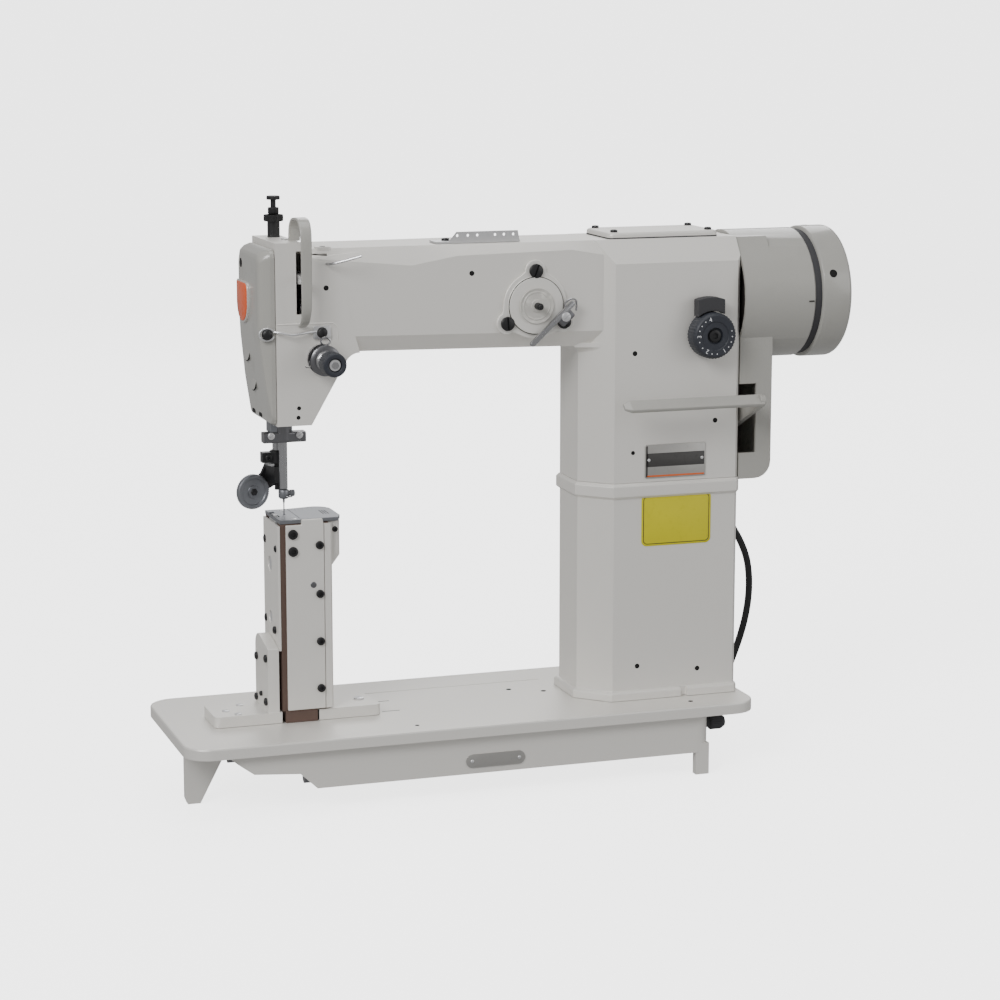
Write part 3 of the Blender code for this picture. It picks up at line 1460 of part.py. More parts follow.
def top_plates():
    """Needle plate, slide plate and feed wheel at the post's top."""
    low, high = POST_HEIGHT - TOP_PLATE_THICK, POST_HEIGHT
    seam = NEEDLE_X + 8.3
    left = POST_LEFT - 0.5
    wheel_x, wheel_z = FEED_WHEEL
    half = FEED_WHEEL_WIDTH / 2
    plate = make(
        "needle_plate",
        prism("Z", rectangle(left, POST_FRONT, seam, POST_BACK), low, high),
        "dark_steel",
    )
    cut(
        plate,
        rod("Z", (NEEDLE_X, 0), 1.4, low - 5, high + 5, 10),
        box((wheel_x - half - 0.5, -10, low - 5), (wheel_x + half + 0.5, 14, high + 5)),
    )
    plan = [(seam + GAP, POST_FRONT + 2), (seam + GAP, POST_BACK)]
    right = POST_RIGHT + 13.5
    plan += arc(right - 14, POST_BACK - 10, 14, 90, 0, 5)
    plan += [(right, POST_FRONT + 12), (right - 4, POST_FRONT + 2)]
    make("slide_plate", prism("Z", plan, low, high), "dark_steel", (seam, 0, low))
    rim = toothed(FEED_WHEEL_Y, wheel_z, FEED_WHEEL_RADIUS - 0.7, FEED_WHEEL_RADIUS, 24)
    wheel = make(
        "feed_wheel",
        prism("X", rim, wheel_x - half, wheel_x + half),
        "steel",
        (wheel_x, FEED_WHEEL_Y, wheel_z),
    )
    add(wheel, rod("X", (FEED_WHEEL_Y, wheel_z), 2.6, wheel_x, wheel_x + half + 3.2, 14))


# --------------------------------------------------------------------------- cable

# The loose stretch of the motor's cable, from its gland to the coil behind the bed.
CABLE_ROUTE = [
    (268.0, 20.0, 169.7),
    (268.0, 20.3, 160.0),
    (272.0, 22.0, 147.0),
    (280.0, 25.0, 134.0),
    (289.0, 28.0, 120.0),
    (297.0, 32.0, 103.0),
    (301.0, 35.0, 84.0),
    (301.5, 37.0, 64.0),
    (299.0, 39.0, 43.0),
    (294.0, 42.0, 21.0),
    (287.0, 45.0, -1.0),
    (280.0, 49.0, -22.0),
    (274.5, 55.0, -40.0),
    (270.5, 64.0, -53.0),
    (268.5, 77.0, -60.0),
    (268.0, 92.0, -61.6),
    (268.0, 105.0, -61.6),
    (268.0, 117.0, -61.6),
]
COIL_CENTRE = (226.6, 142.0)


def smooth_route(points, per_span):
    """Points on a Catmull-Rom curve through the route's own points."""
    ends = [points[0]] + list(points) + [points[-1]]
    result = []
    for p0, p1, p2, p3 in zip(ends, ends[1:], ends[2:], ends[3:]):
        for k in range(per_span):
            t = k / per_span
            place = []
            for a, b, c, d in zip(p0, p1, p2, p3):
                curve = 2 * b + (c - a) * t + (2 * a - 5 * b + 4 * c - d) * t**2
                place.append(0.5 * (curve + (3 * b - a - 3 * c + d) * t**3))
            result.append(place)
    return result + [list(points[-1])]


def cable():
    """The motor's cable: gland, loose stretch, tied hank and connector."""
    x, y, z = CABLE_ROUTE[0]
    under_cover = SHAFT_Z - MOTOR_BOX_BELOW_SHAFT - GAP
    low = under_cover - GLAND_LENGTH
    gland = [
        (low, CABLE_RADIUS + 1.2),
        (under_cover - 7, 5.8),
        (under_cover - 7, 8.0),
        (under_cover, 8.0),
    ]
    make("cable_gland", turned("Z", (x, y), gland, 16), "black")
    curve = bpy.data.curves.new("power_cable", "CURVE")
    curve.dimensions = "3D"
    curve.bevel_depth = CABLE_RADIUS * MM
    curve.bevel_resolution = 2
    curve.use_fill_caps = True
    points = smooth_route([(x, y, low - GAP)] + CABLE_ROUTE[1:], 2)
    spline = curve.splines.new("POLY")
    spline.points.add(len(points) - 1)
    for target, place in zip(spline.points, points):
        target.co = [c * MM for c in place] + [1.0]
    curve.materials.append(finish("rubber"))
    obj = bpy.data.objects.new("power_cable", curve)
    obj.parent = bpy.data.objects["machine"]
    bpy.context.scene.collection.objects.link(obj)
    floor = -PLATE_HEIGHT
    half = COIL_ACROSS * CABLE_RADIUS + 0.2
    top = floor + COIL_LAYERS * 2 * CABLE_RADIUS
    inner, outer = COIL_TURN_RADIUS - half, COIL_TURN_RADIUS + half
    section = [
        (floor, inner + 2),
        (floor, outer - 2),
        (floor + 3, outer),
        (top - 3, outer),
        (top, outer - 2),
        (top, inner + 2),
        (top - 3, inner),
        (floor + 3, inner),
    ]
    make("cable_coil", turned("Z", COIL_CENTRE, section, 32, ring=True), "rubber")
    last_turn = COIL_TURN_RADIUS + (COIL_ACROSS - 1) * CABLE_RADIUS
    line = (COIL_CENTRE[1] + last_turn, top - CABLE_RADIUS)
    end = COIL_CENTRE[0] - 25.2
    nose = [(end - 14, 5.6), (end - 12, 5.6), (end, CABLE_RADIUS + 0.8)]
    plug = make("cable_connector", turned("X", line, nose, 16), "black")
    body = rectangle(line[0] - 9, floor + 0.02, line[0] + 9, floor + 16, 2.0, 2)
    add(plug, prism("X", body, end - 43, end - 13))


def main():
    """Clears the scene and builds the machine."""
    for obj in list(bpy.data.objects):
        bpy.data.objects.remove(obj)
    machine = bpy.data.objects.new("machine", None)
    middle = (PLATE_LEFT + WHEEL_RIGHT) / 2
    machine.location = (-middle * MM, 0.0, PLATE_HEIGHT * MM)
    bpy.context.scene.collection.objects.link(machine)
    bed()
    bed_knob()
    riser()
    arm()
    column_covers()
    face_plate()
    take_up_guard()
    motor()
    handwheel()
    main_shaft()
    pulley("upper_pulley", SHAFT_Z)
    pulley("lower_pulley", LOWER_SHAFT_Z)
    timing_belt()
    lower_shaft()
    hook_drive()
    needle_drive()
    take_up_lever()
    presser()
    lifter()
    needle_bar_guide()
    roller_foot()
    tension()
    thread_guides()
    winder()
    stitch_controls()
    post_frame()
    post_covers()
    post_feet()
    top_plates()
    cable()


main()
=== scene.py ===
"""Looks of a post-bed, roller-foot leather sewing machine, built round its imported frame.

Small sizes are in millimetres, measured in the machine's own frame: X along the arm to the motor,
Y to the back, Z up, from the middle of the bed plate's top face.
"""

from __future__ import annotations

import json
import logging
import math
from dataclasses import dataclass, field
from enum import Enum
from typing import Iterable, Sequence, Union

import bmesh
import bpy
from mathutils import Matrix, Vector

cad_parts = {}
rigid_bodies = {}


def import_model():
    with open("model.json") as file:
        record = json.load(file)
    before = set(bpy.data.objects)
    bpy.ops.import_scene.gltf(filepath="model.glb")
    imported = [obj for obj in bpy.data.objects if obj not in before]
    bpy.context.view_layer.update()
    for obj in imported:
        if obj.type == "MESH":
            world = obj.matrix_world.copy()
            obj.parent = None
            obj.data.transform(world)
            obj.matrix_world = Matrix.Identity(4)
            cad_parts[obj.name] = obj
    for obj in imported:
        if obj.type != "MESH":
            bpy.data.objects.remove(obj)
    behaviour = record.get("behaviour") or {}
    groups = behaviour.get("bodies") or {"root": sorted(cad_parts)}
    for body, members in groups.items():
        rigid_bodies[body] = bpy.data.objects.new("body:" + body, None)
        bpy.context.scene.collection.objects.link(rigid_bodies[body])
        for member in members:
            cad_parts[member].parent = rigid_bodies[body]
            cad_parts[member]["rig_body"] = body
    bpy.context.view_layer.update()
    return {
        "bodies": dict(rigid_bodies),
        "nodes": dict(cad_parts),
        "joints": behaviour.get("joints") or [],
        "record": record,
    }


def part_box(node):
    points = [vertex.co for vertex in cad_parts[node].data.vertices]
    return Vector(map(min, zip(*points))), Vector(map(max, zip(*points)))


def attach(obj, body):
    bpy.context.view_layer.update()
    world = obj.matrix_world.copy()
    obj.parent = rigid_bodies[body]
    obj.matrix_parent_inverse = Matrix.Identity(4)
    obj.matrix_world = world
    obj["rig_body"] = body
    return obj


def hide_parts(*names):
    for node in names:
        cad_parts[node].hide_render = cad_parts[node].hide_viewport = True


MM = 0.001
TURN = 2 * math.pi
LOG = logging.getLogger("sewing_machine")
COLUMN_FACE = -48.0
BED_SKIRT = 81.0

Point = Union[tuple[float, float, float], Vector]
Pair = tuple[float, float]
Colour = tuple[float, float, float]


# --------------------------------------------------------------------------- shader expressions


class Signal:
    """A shader socket that can be used in sums."""

    def __init__(self, tree: "Shader", socket: bpy.types.NodeSocket) -> None:
        """Wraps an output socket of a shader's tree."""
        self.tree = tree
        self.socket = socket

    def __add__(self, other: "Number") -> "Signal":
        """This signal plus another."""
        return self.tree.math("ADD", self, other)

    def __mul__(self, other: "Number") -> "Signal":
        """This signal times another."""
        return self.tree.math("MULTIPLY", self, other)

    def __rsub__(self, other: "Number") -> "Signal":
        """Another signal less this one."""
        return self.tree.math("SUBTRACT", other, self)

    __radd__ = __add__
    __rmul__ = __mul__

    def between(self, low: float, high: float) -> "Signal":
        """Rises smoothly from 0 to 1 as this signal goes from low to high."""
        settings = {"interpolation_type": "SMOOTHSTEP"}
        values = {"Value": self, "From Min": low, "From Max": high}
        return self.tree.node("ShaderNodeMapRange", settings, values, "Result")


Number = Union[Signal, float, int]


class Shader:
    """A material's node tree, built from expressions."""

    def __init__(self, name: str) -> None:
        """Starts an empty material with one Principled shader."""
        self.material = bpy.data.materials.new(name)
        self.material.use_nodes = True
        self.tree = self.material.node_tree
        self.principled = self.tree.nodes["Principled BSDF"]

    def node(self, kind: str, settings: dict, values: dict, output: str | int = 0) -> Signal:
        """Adds any node.

        Args:
            kind: the node's type.
            settings: the node's own properties; "stops" gives a ramp's (place, colour) pairs.
            values: numbers, colours or signals for its inputs, by name or number.
            output: the output that is wanted.

        Returns:
            The wanted output.
        """
        node = self.tree.nodes.new(kind)
        for key, value in settings.items():
            if key == "stops":
                self._set_stops(node.color_ramp, value)
            else:
                setattr(node, key, value)
        for key, value in values.items():
            self.link(node.inputs[key], value)
        return Signal(self, node.outputs[output])

    @staticmethod
    def _set_stops(ramp: bpy.types.ColorRamp, stops: Sequence[tuple[float, float]]) -> None:
        """Sets a ramp's stops as greys."""
        while len(ramp.elements) < len(stops):
            ramp.elements.new(0.5)
        for element, (place, grey) in zip(ramp.elements, stops):
            element.position = place
            element.color = (grey, grey, grey, 1.0)

    def link(self, socket: bpy.types.NodeSocket, value: object) -> None:
        """Joins a signal to an input, or sets the input's own value."""
        if isinstance(value, Signal):
            self.tree.links.new(value.socket, socket)
        else:
            socket.default_value = value

    def math(self, operation: str, first: Number, second: Number) -> Signal:
        """Adds a Math node."""
        return self.node("ShaderNodeMath", {"operation": operation}, {0: first, 1: second})

    def place(self, stretch: Colour = (1.0, 1.0, 1.0)) -> Signal:
        """Object coordinates, stretched along the axes."""
        coords = self.node("ShaderNodeTexCoord", {}, {}, "Object")
        return self.node("ShaderNodeMapping", {}, {"Vector": coords, "Scale": stretch})

    def noise(self, scale: float, detail: float = 3.0, stretch: Colour = (1, 1, 1)) -> Signal:
        """Fractal noise from 0 to 1, its scale in cells per metre."""
        values = {"Vector": self.place(stretch), "Scale": scale, "Detail": detail}
        return self.node("ShaderNodeTexNoise", {}, values, "Fac")

    def cells(self, scale: float) -> Signal:
        """Distance to the nearest of scattered points, its scale in cells per metre."""
        values = {"Vector": self.place(), "Scale": scale}
        return self.node("ShaderNodeTexVoronoi", {}, values, "Distance")

    def mix(self, share: Signal, first: object, second: object) -> Signal:
        """Mixes two colours."""
        node = self.tree.nodes.new("ShaderNodeMix")
        node.data_type = "RGBA"
        self.link(node.inputs[0], share)
        self.link(node.inputs[6], first)
        self.link(node.inputs[7], second)
        return Signal(self, node.outputs[2])

    def bump(self, height: Signal, depth: float, strength: float = 1.0) -> None:
        """Raises the surface by a height signal, its depth in metres."""
        values = {"Height": height, "Strength": strength, "Distance": depth}
        self.link(self.principled.inputs["Normal"], self.node("ShaderNodeBump", {}, values))

    def put(self, **values: object) -> None:
        """Sets the Principled shader's inputs; underscores stand for spaces."""
        for key, value in values.items():
            self.link(self.principled.inputs[key.replace("_", " ")], value)


def shade(colour: Colour, factor: float) -> tuple[float, float, float, float]:
    """A colour made lighter or darker, with alpha."""
    return (*(min(1.0, c * factor) for c in colour), 1.0)


# --------------------------------------------------------------------------- finishes


@dataclass(frozen=True)
class Enamel:
    """Sprayed enamel over a cast surface: orange peel, soft waves, faint dirt and rubbed spots."""

    colour: Colour
    roughness: float = 0.27
    peel: float = 0.00020
    cast: float = 0.00030

    def build(self, name: str) -> bpy.types.Material:
        """Makes the material."""
        shader = Shader(name)
        cloud = shader.noise(9.0, 4.0)
        dirt = shader.noise(38.0, 6.0).between(0.56, 0.78)
        streak = shader.noise(22.0, 3.0, (3.0, 3.0, 0.35)).between(0.52, 0.80)
        tone = shader.mix(cloud, shade(self.colour, 0.955), shade(self.colour, 1.03))
        dusty = shader.mix(dirt * 0.16, tone, shade(self.colour, 0.62))
        grime = (self.colour[0] * 0.68, self.colour[1] * 0.64, self.colour[2] * 0.56, 1.0)
        shader.put(Base_Color=shader.mix(streak * 0.10, dusty, grime))
        shader.put(Roughness=self.roughness + cloud * 0.10 + dirt * 0.16)
        shader.put(Coat_Weight=0.45, Coat_Roughness=0.10, Specular_IOR_Level=0.5)
        fine = shader.noise(430.0, 2.0) * (self.peel / self.cast)
        shader.bump(fine + shader.noise(95.0, 3.0), self.cast, 0.85)
        return shader.material


@dataclass(frozen=True)
class RoughCast:
    """Primed iron left as it came from the mould."""

    colour: Colour

    def build(self, name: str) -> bpy.types.Material:
        """Makes the material."""
        shader = Shader(name)
        grain = shader.noise(650.0, 5.0)
        rust = shader.noise(120.0, 5.0).between(0.50, 0.68)
        tone = shader.mix(grain, shade(self.colour, 0.7), shade(self.colour, 1.45))
        worn = (self.colour[0] * 1.9, self.colour[1] * 1.4, self.colour[2] * 1.1, 1.0)
        shader.put(Base_Color=shader.mix(rust * 0.6, tone, worn))
        shader.put(Roughness=0.68 + grain * 0.25)
        shader.bump(grain + shader.cells(480.0), 0.0005, 0.8)
        return shader.material


@dataclass(frozen=True)
class Machined:
    """Bare steel with lines from the tool, fine scratches and a film of oil."""

    colour: Colour
    roughness: float = 0.24
    lines: Colour = (1.0, 1.0, 26.0)
    depth: float = 0.00003

    def build(self, name: str) -> bpy.types.Material:
        """Makes the material."""
        shader = Shader(name)
        tool = shader.noise(160.0, 4.0, self.lines)
        smear = shader.noise(70.0, 5.0)
        spots = shader.noise(520.0, 3.0).between(0.66, 0.76)
        tone = shader.mix(tool, shade(self.colour, 0.80), shade(self.colour, 1.12))
        shader.put(Base_Color=shader.mix(spots * 0.45, tone, shade(self.colour, 0.38)))
        shader.put(Metallic=1.0 - spots * 0.35)
        shader.put(Roughness=self.roughness + smear * 0.20 + spots * 0.25)
        shader.bump(tool, self.depth, 0.5)
        return shader.material


@dataclass(frozen=True)
class Moulded:
    """Moulded plastic or black oxide with a fine grain."""

    colour: Colour
    roughness: float = 0.38
    grain: float = 900.0
    depth: float = 0.00005
    glow: float = 0.0

    def build(self, name: str) -> bpy.types.Material:
        """Makes the material."""
        shader = Shader(name)
        fine = shader.cells(self.grain)
        rubbed = shader.noise(140.0, 5.0).between(0.54, 0.74)
        lighter = tuple(min(1.0, c * 1.7 + 0.012) for c in self.colour)
        shader.put(Base_Color=shader.mix(rubbed * 0.35, shade(self.colour, 1.0), (*lighter, 1.0)))
        shader.put(Roughness=self.roughness + rubbed * 0.16 + fine * 0.12)
        shader.put(Subsurface_Weight=self.glow, Subsurface_Radius=(0.004, 0.004, 0.004))
        shader.bump(fine, self.depth, 0.6)
        return shader.material


@dataclass(frozen=True)
class Printed:
    """A printed or stoved face, even in colour and slightly worn."""

    colour: Colour
    roughness: float = 0.40
    metallic: float = 0.0

    def build(self, name: str) -> bpy.types.Material:
        """Makes the material."""
        shader = Shader(name)
        scuff = shader.noise(260.0, 6.0).between(0.52, 0.74)
        fade = shader.noise(45.0, 2.0)
        tone = shader.mix(fade, shade(self.colour, 0.93), shade(self.colour, 1.05))
        shader.put(Base_Color=shader.mix(scuff * 0.20, tone, shade(self.colour, 0.72)))
        shader.put(Roughness=self.roughness + scuff * 0.2, Metallic=self.metallic)
        shader.bump(shader.noise(900.0, 2.0), 0.00002, 0.4)
        return shader.material


class Finish(Enum):
    """Every finish on the machine, with the record's material slot that it stands for."""

    ENAMEL = ("enamel", Enamel((0.600, 0.576, 0.550)))
    GREY = ("grey_enamel", Enamel((0.385, 0.378, 0.350), 0.26, 0.00012, 0.00016))
    PRIMER = ("primer", RoughCast((0.013, 0.009, 0.007)))
    STEEL = ("steel", Machined((0.46, 0.46, 0.47)))
    ROUND_STEEL = ("steel", Machined((0.45, 0.45, 0.46), 0.16, (9.0, 9.0, 60.0), 0.00002))
    DARK_STEEL = ("dark_steel", Machined((0.030, 0.032, 0.037), 0.42, (30.0, 1.0, 1.0), 0.00004))
    GUIDE_STEEL = ("dark_steel", Machined((0.20, 0.20, 0.21), 0.24, (24.0, 1.0, 1.0), 0.00003))
    OXIDE = ("black", Moulded((0.009, 0.009, 0.010), 0.34, 1400.0, 0.00003))
    BLACK = ("black", Moulded((0.008, 0.008, 0.009), 0.46))
    WINDINGS = ("black", Moulded((0.014, 0.011, 0.010), 0.60, 320.0, 0.0004))
    DIAL = ("dial_plastic", Moulded((0.024, 0.027, 0.036), 0.42, 1100.0, 0.00004))
    MILKY = ("clear_plastic", Moulded((0.56, 0.545, 0.51), 0.26, 500.0, 0.00002, 0.35))
    BELT = ("rubber", Moulded((0.018, 0.018, 0.019), 0.66, 700.0, 0.0001))
    JACKET = ("rubber", Moulded((0.010, 0.010, 0.011), 0.42, 1600.0, 0.00003))
    # Near-black painted shade: thin discs, rings and strips put in holes, grooves, slots and gaps.
    RECESS_SHADE = ("black", Moulded((0.004, 0.004, 0.004), 0.85, 600.0, 0.0001))
    WHITE_PRINT = ("dial_plastic", Printed((0.75, 0.76, 0.78), 0.5))
    BADGE = ("grey_enamel", Printed((0.78, 0.100, 0.010), 0.28))
    BADGE_RIM = ("grey_enamel", Printed((0.66, 0.64, 0.60), 0.25, 0.4))
    YELLOW = ("enamel", Printed((0.62, 0.56, 0.004), 0.42))
    LABEL_INK = ("enamel", Printed((0.035, 0.033, 0.028), 0.5))
    ORANGE_INK = ("steel", Printed((0.70, 0.13, 0.02), 0.45))
    PLATE = ("steel", Printed((0.46, 0.45, 0.43), 0.34, 0.75))
    PLATE_DARK = ("steel", Printed((0.060, 0.058, 0.056), 0.40, 0.3))

    @property
    def slot(self) -> str:
        """The record's material slot."""
        return self.value[0]

    @property
    def material(self) -> bpy.types.Material:
        """The finish's material, made once."""
        name = self.name.lower()
        return bpy.data.materials.get(name) or self.value[1].build(name)


# --------------------------------------------------------------------------- meshes


def arc(u: float, v: float, radius: float, start: float, end: float, steps: int) -> list[Pair]:
    """Points on an arc round (u, v), both ends included, with angles in degrees."""
    turns = [math.radians(start + (end - start) * i / steps) for i in range(steps + 1)]
    return [(u + radius * math.cos(a), v + radius * math.sin(a)) for a in turns]


def sweep(start: float, end: float, steps: int) -> list[float]:
    """Angles in radians from one given in degrees to another."""
    return [math.radians(start + (end - start) * i / steps) for i in range(steps + 1)]


def ring_points(radius: float, steps: int = 48) -> list[Pair]:
    """A round outline about the origin."""
    return arc(0, 0, radius, 0, 360, steps)[:-1]


def rounded(half_u: float, half_v: float, radius: float, steps: int = 5) -> list[Pair]:
    """A rectangle about the origin with rounded corners."""
    u, v = half_u - radius, half_v - radius
    corners = ((u, v, 0), (-u, v, 90), (-u, -v, 180), (u, -v, 270))
    return [p for cu, cv, a in corners for p in arc(cu, cv, radius, a, a + 90, steps)]


def loft(loops: Sequence[Sequence[Point]], closed: bool = False) -> bmesh.types.BMesh:
    """A closed mesh through loops of equal length.

    Args:
        loops: the outlines in order.
        closed: joins the last loop to the first, in place of two caps.

    Returns:
        The mesh.
    """
    mesh = bmesh.new()
    rows = [[mesh.verts.new(p) for p in loop] for loop in loops]
    pairs = list(zip(rows, rows[1:])) + ([(rows[-1], rows[0])] if closed else [])
    for near, far in pairs:
        for i in range(len(near)):
            j = (i + 1) % len(near)
            mesh.faces.new((near[i], near[j], far[j], far[i]))
    if not closed:
        mesh.faces.new(rows[0][::-1])
        mesh.faces.new(rows[-1])
    bmesh.ops.recalc_face_normals(mesh, faces=mesh.faces)
    return mesh


def plate(outline: Sequence[Pair], low: float, high: float, edge: float) -> bmesh.types.BMesh:
    """A plate with its top edge rounded off: its outline must surround the origin."""
    reach = max(math.hypot(u, v) for u, v in outline)
    loops = [[(u, v, low) for u, v in outline]]
    for share in (0.0, 0.45, 0.8, 1.0):
        inset = edge * (1 - math.sqrt(1 - share**2))
        scale = 1 - inset / reach
        loops.append([(u * scale, v * scale, high - edge * (1 - share)) for u, v in outline])
    return loft(loops)


def turned(profile: Sequence[Pair], steps: int = 48, closed: bool = False) -> bmesh.types.BMesh:
    """A turned piece about Z: its profile is (height, radius) pairs."""
    loops = [[(u, v, z) for u, v in ring_points(radius, steps)] for z, radius in profile]
    return loft(loops, closed)


def knurled(profile: Sequence[Pair], ribs: int, depth: float) -> bmesh.types.BMesh:
    """A turned piece whose side is ribbed wherever it is near its widest."""
    widest = max(radius for _, radius in profile)
    loops = []
    for z, radius in profile:
        loop = []
        for i in range(ribs * 4):
            dip = depth if i % 4 in (0, 1) and radius > 0.93 * widest else 0.0
            turn = TURN * i / (ribs * 4)
            loop.append(((radius - dip) * math.cos(turn), (radius - dip) * math.sin(turn), z))
        loops.append(loop)
    return loft(loops)


def wire(path: Sequence[Point], radius: float, sides: int = 10) -> bmesh.types.BMesh:
    """A round wire along a path, with a frame carried along so that it doesn't twist."""
    places = [Vector(p) for p in path]
    side = None
    loops = []
    for i, place in enumerate(places):
        ahead = places[min(i + 1, len(places) - 1)] - places[max(i - 1, 0)]
        ahead.normalize()
        if side is None:
            side = ahead.orthogonal().normalized()
        side = (side - ahead * side.dot(ahead)).normalized()
        up = ahead.cross(side)
        loops.append(
            [
                place + radius * (math.cos(TURN * k / sides) * side + math.sin(TURN * k / sides) * up)
                for k in range(sides)
            ]
        )
    return loft(loops)


def smooth_path(points: Sequence[Point], per_span: int) -> list[Vector]:
    """Points on a Catmull-Rom curve through the given ones."""
    ends = [Vector(points[0])] + [Vector(p) for p in points] + [Vector(points[-1])]
    result = []
    for a, b, c, d in zip(ends, ends[1:], ends[2:], ends[3:]):
        for k in range(per_span):
            t = k / per_span
            bend = 2 * b + (c - a) * t + (2 * a - 5 * b + 4 * c - d) * t**2
            result.append(0.5 * (bend + (3 * b - a - 3 * c + d) * t**3))
    return result + [Vector(points[-1])]


def gathered(*meshes: bmesh.types.BMesh) -> bmesh.types.BMesh:
    """Several meshes in one."""
    result = bmesh.new()
    for part in meshes:
        copies = {v: result.verts.new(v.co) for v in part.verts}
        for face in part.faces:
            result.faces.new([copies[v] for v in face.verts])
        part.free()
    return result


# --------------------------------------------------------------------------- workshop


class Facing(Enum):
    """Which way a detail's own Z looks, with the direction of its own Y."""

    FRONT = ((0, -1, 0), (0, 0, 1))
    BACK = ((0, 1, 0), (0, 0, 1))
    LEFT = ((-1, 0, 0), (0, 0, 1))
    RIGHT = ((1, 0, 0), (0, 0, 1))
    UP = ((0, 0, 1), (0, 1, 0))

    def matrix(self, place: Point) -> Matrix:
        """The transform from a detail's own frame to a place on the machine, in millimetres."""
        normal, up = (Vector(v) for v in self.value)
        across = up.cross(normal)
        turn = Matrix((across, up, normal)).transposed().to_4x4()
        return Matrix.Translation(Vector(place)) @ turn


@dataclass
class Workshop:
    """Puts pieces on the machine's frame and dresses its CAD nodes."""

    frame: dict
    origin: Vector = field(default_factory=Vector)
    count: int = 0

    def __post_init__(self) -> None:
        """Finds the machine's own origin from its bed plate."""
        low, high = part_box("bed_casting")
        self.origin = Vector(((low.x + high.x) / 2, (low.y + high.y) / 2, high.z))

    def side(self, node: str) -> tuple[Vector, Vector]:
        """A CAD node's two corners in the machine's own frame, in millimetres."""
        low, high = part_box(node)
        return (low - self.origin) / MM, (high - self.origin) / MM

    def body_of(self, node: str) -> str:
        """The body that a CAD node is on."""
        return self.frame["nodes"][node]["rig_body"]

    def put(
        self,
        name: str,
        mesh: bmesh.types.BMesh,
        finish: Finish,
        body: str,
        at: Matrix | None = None,
        replaces: Sequence[str] = (),
        sharp: float = 32.0,
    ) -> bpy.types.Object:
        """Makes a piece from a mesh in millimetres and puts it on a body.

        Args:
            name: the piece's name.
            mesh: the piece in its own frame; it is freed.
            finish: what the piece is made of.
            body: the body that it moves with.
            at: its place on the machine, if it isn't modelled in place.
            replaces: CAD nodes that it stands for.
            sharp: the angle in degrees past which an edge stays sharp.

        Returns:
            The new object.
        """
        if at is not None:
            bmesh.ops.transform(mesh, matrix=at, verts=mesh.verts)
        for vertex in mesh.verts:
            vertex.co = vertex.co * MM + self.origin
        data = bpy.data.meshes.new(name)
        mesh.to_mesh(data)
        mesh.free()
        data.shade_smooth()
        data.set_sharp_from_angle(angle=math.radians(sharp))
        data.materials.append(finish.material)
        piece = bpy.data.objects.new(name, data)
        bpy.context.scene.collection.objects.link(piece)
        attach(piece, body)
        if replaces:
            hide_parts(*replaces)
        self.count += 1
        LOG.info("%s: %d faces on %s", name, len(data.polygons), body)
        return piece

    def dress(self, finish: Finish, *nodes: str) -> None:
        """Gives CAD nodes a finish."""
        for node in nodes:
            materials = self.frame["nodes"][node].data.materials
            materials.clear()
            materials.append(finish.material)

    def eased(
        self, node: str, width: float, finish: Finish, angle: float = 24.0, merge: bool = True
    ) -> None:
        """Stands a copy with rounded edges in for a CAD node.

        Args:
            node: the CAD node.
            width: how far the rounding reaches from each edge, in millimetres.
            finish: what the piece is made of.
            angle: the least angle in degrees of an edge that is rounded.
            merge: joins flat neighbours into single faces first.
        """
        mesh = bmesh.new()
        mesh.from_mesh(self.frame["nodes"][node].data)
        bmesh.ops.remove_doubles(mesh, verts=mesh.verts, dist=0.00001)
        if merge:
            flat = math.radians(0.6)
            bmesh.ops.dissolve_limit(mesh, angle_limit=flat, verts=mesh.verts, edges=mesh.edges)
        for vertex in mesh.verts:
            vertex.co = (vertex.co - self.origin) / MM
        piece = self.put(
            f"{node}_eased", mesh, finish, self.body_of(node), replaces=(node,), sharp=35
        )
        bevel = piece.modifiers.new("ease", "BEVEL")
        bevel.width = width * MM
        bevel.segments = 3
        bevel.limit_method = "ANGLE"
        bevel.angle_limit = math.radians(angle)
        bevel.miter_outer = "MITER_ARC"
        weighted = piece.modifiers.new("even", "WEIGHTED_NORMAL")
        weighted.keep_sharp = True

    def screw(
        self,
        name: str,
        place: Point,
        facing: Facing,
        radius: float,
        body: str = "machine",
        finish: Finish = Finish.OXIDE,
        height: float = 1.6,
        slot_turn: float = 35.0,
    ) -> None:
        """A slotted screw head: a washer-like base under two half discs."""
        slot = 0.13 * radius
        base = turned([(-0.4, radius * 0.96), (0.45 * height, radius), (0.5 * height, radius * 0.9)], 28)
        cut = math.degrees(math.asin(slot / radius))
        halves = []
        for start in (slot_turn, slot_turn + 180):
            low = arc(0, 0, radius, start + cut, start + 180 - cut, 14)
            top = arc(0, 0, 0.86 * radius, start + 1.1 * cut, start + 180 - 1.1 * cut, 14)
            loops = [
                [(u, v, 0.3 * height) for u, v in low],
                [(u, v, 0.8 * height) for u, v in low],
                [(u, v, height) for u, v in top],
            ]
            halves.append(loft(loops))
        self.put(name, gathered(base, *halves), finish, body, facing.matrix(place), sharp=40)

    def socket_screw(
        self,
        name: str,
        place: Point,
        facing: Facing,
        radius: float,
        body: str = "machine",
        finish: Finish = Finish.OXIDE,
        height: float = 2.2,
    ) -> None:
        """A round-headed screw with a six-sided socket."""
        steps = 24
        hexagon = []
        for i in range(steps):
            turn = TURN * i / steps
            inside = (turn + math.pi / 6) % (math.pi / 3) - math.pi / 6
            reach = 0.46 * radius / math.cos(inside)
            hexagon.append((reach * math.cos(turn), reach * math.sin(turn)))
        loops = []
        for share, z in ((1.0, -0.4), (1.0, 0.55), (0.93, 0.85), (0.72, 1.0)):
            loops.append([(u, v, z * height) for u, v in ring_points(radius * share, steps)])
        loops.append([(u, v, height) for u, v in hexagon])
        loops.append([(u, v, 0.35 * height) for u, v in hexagon])
        self.put(name, loft(loops), finish, body, facing.matrix(place), sharp=40)

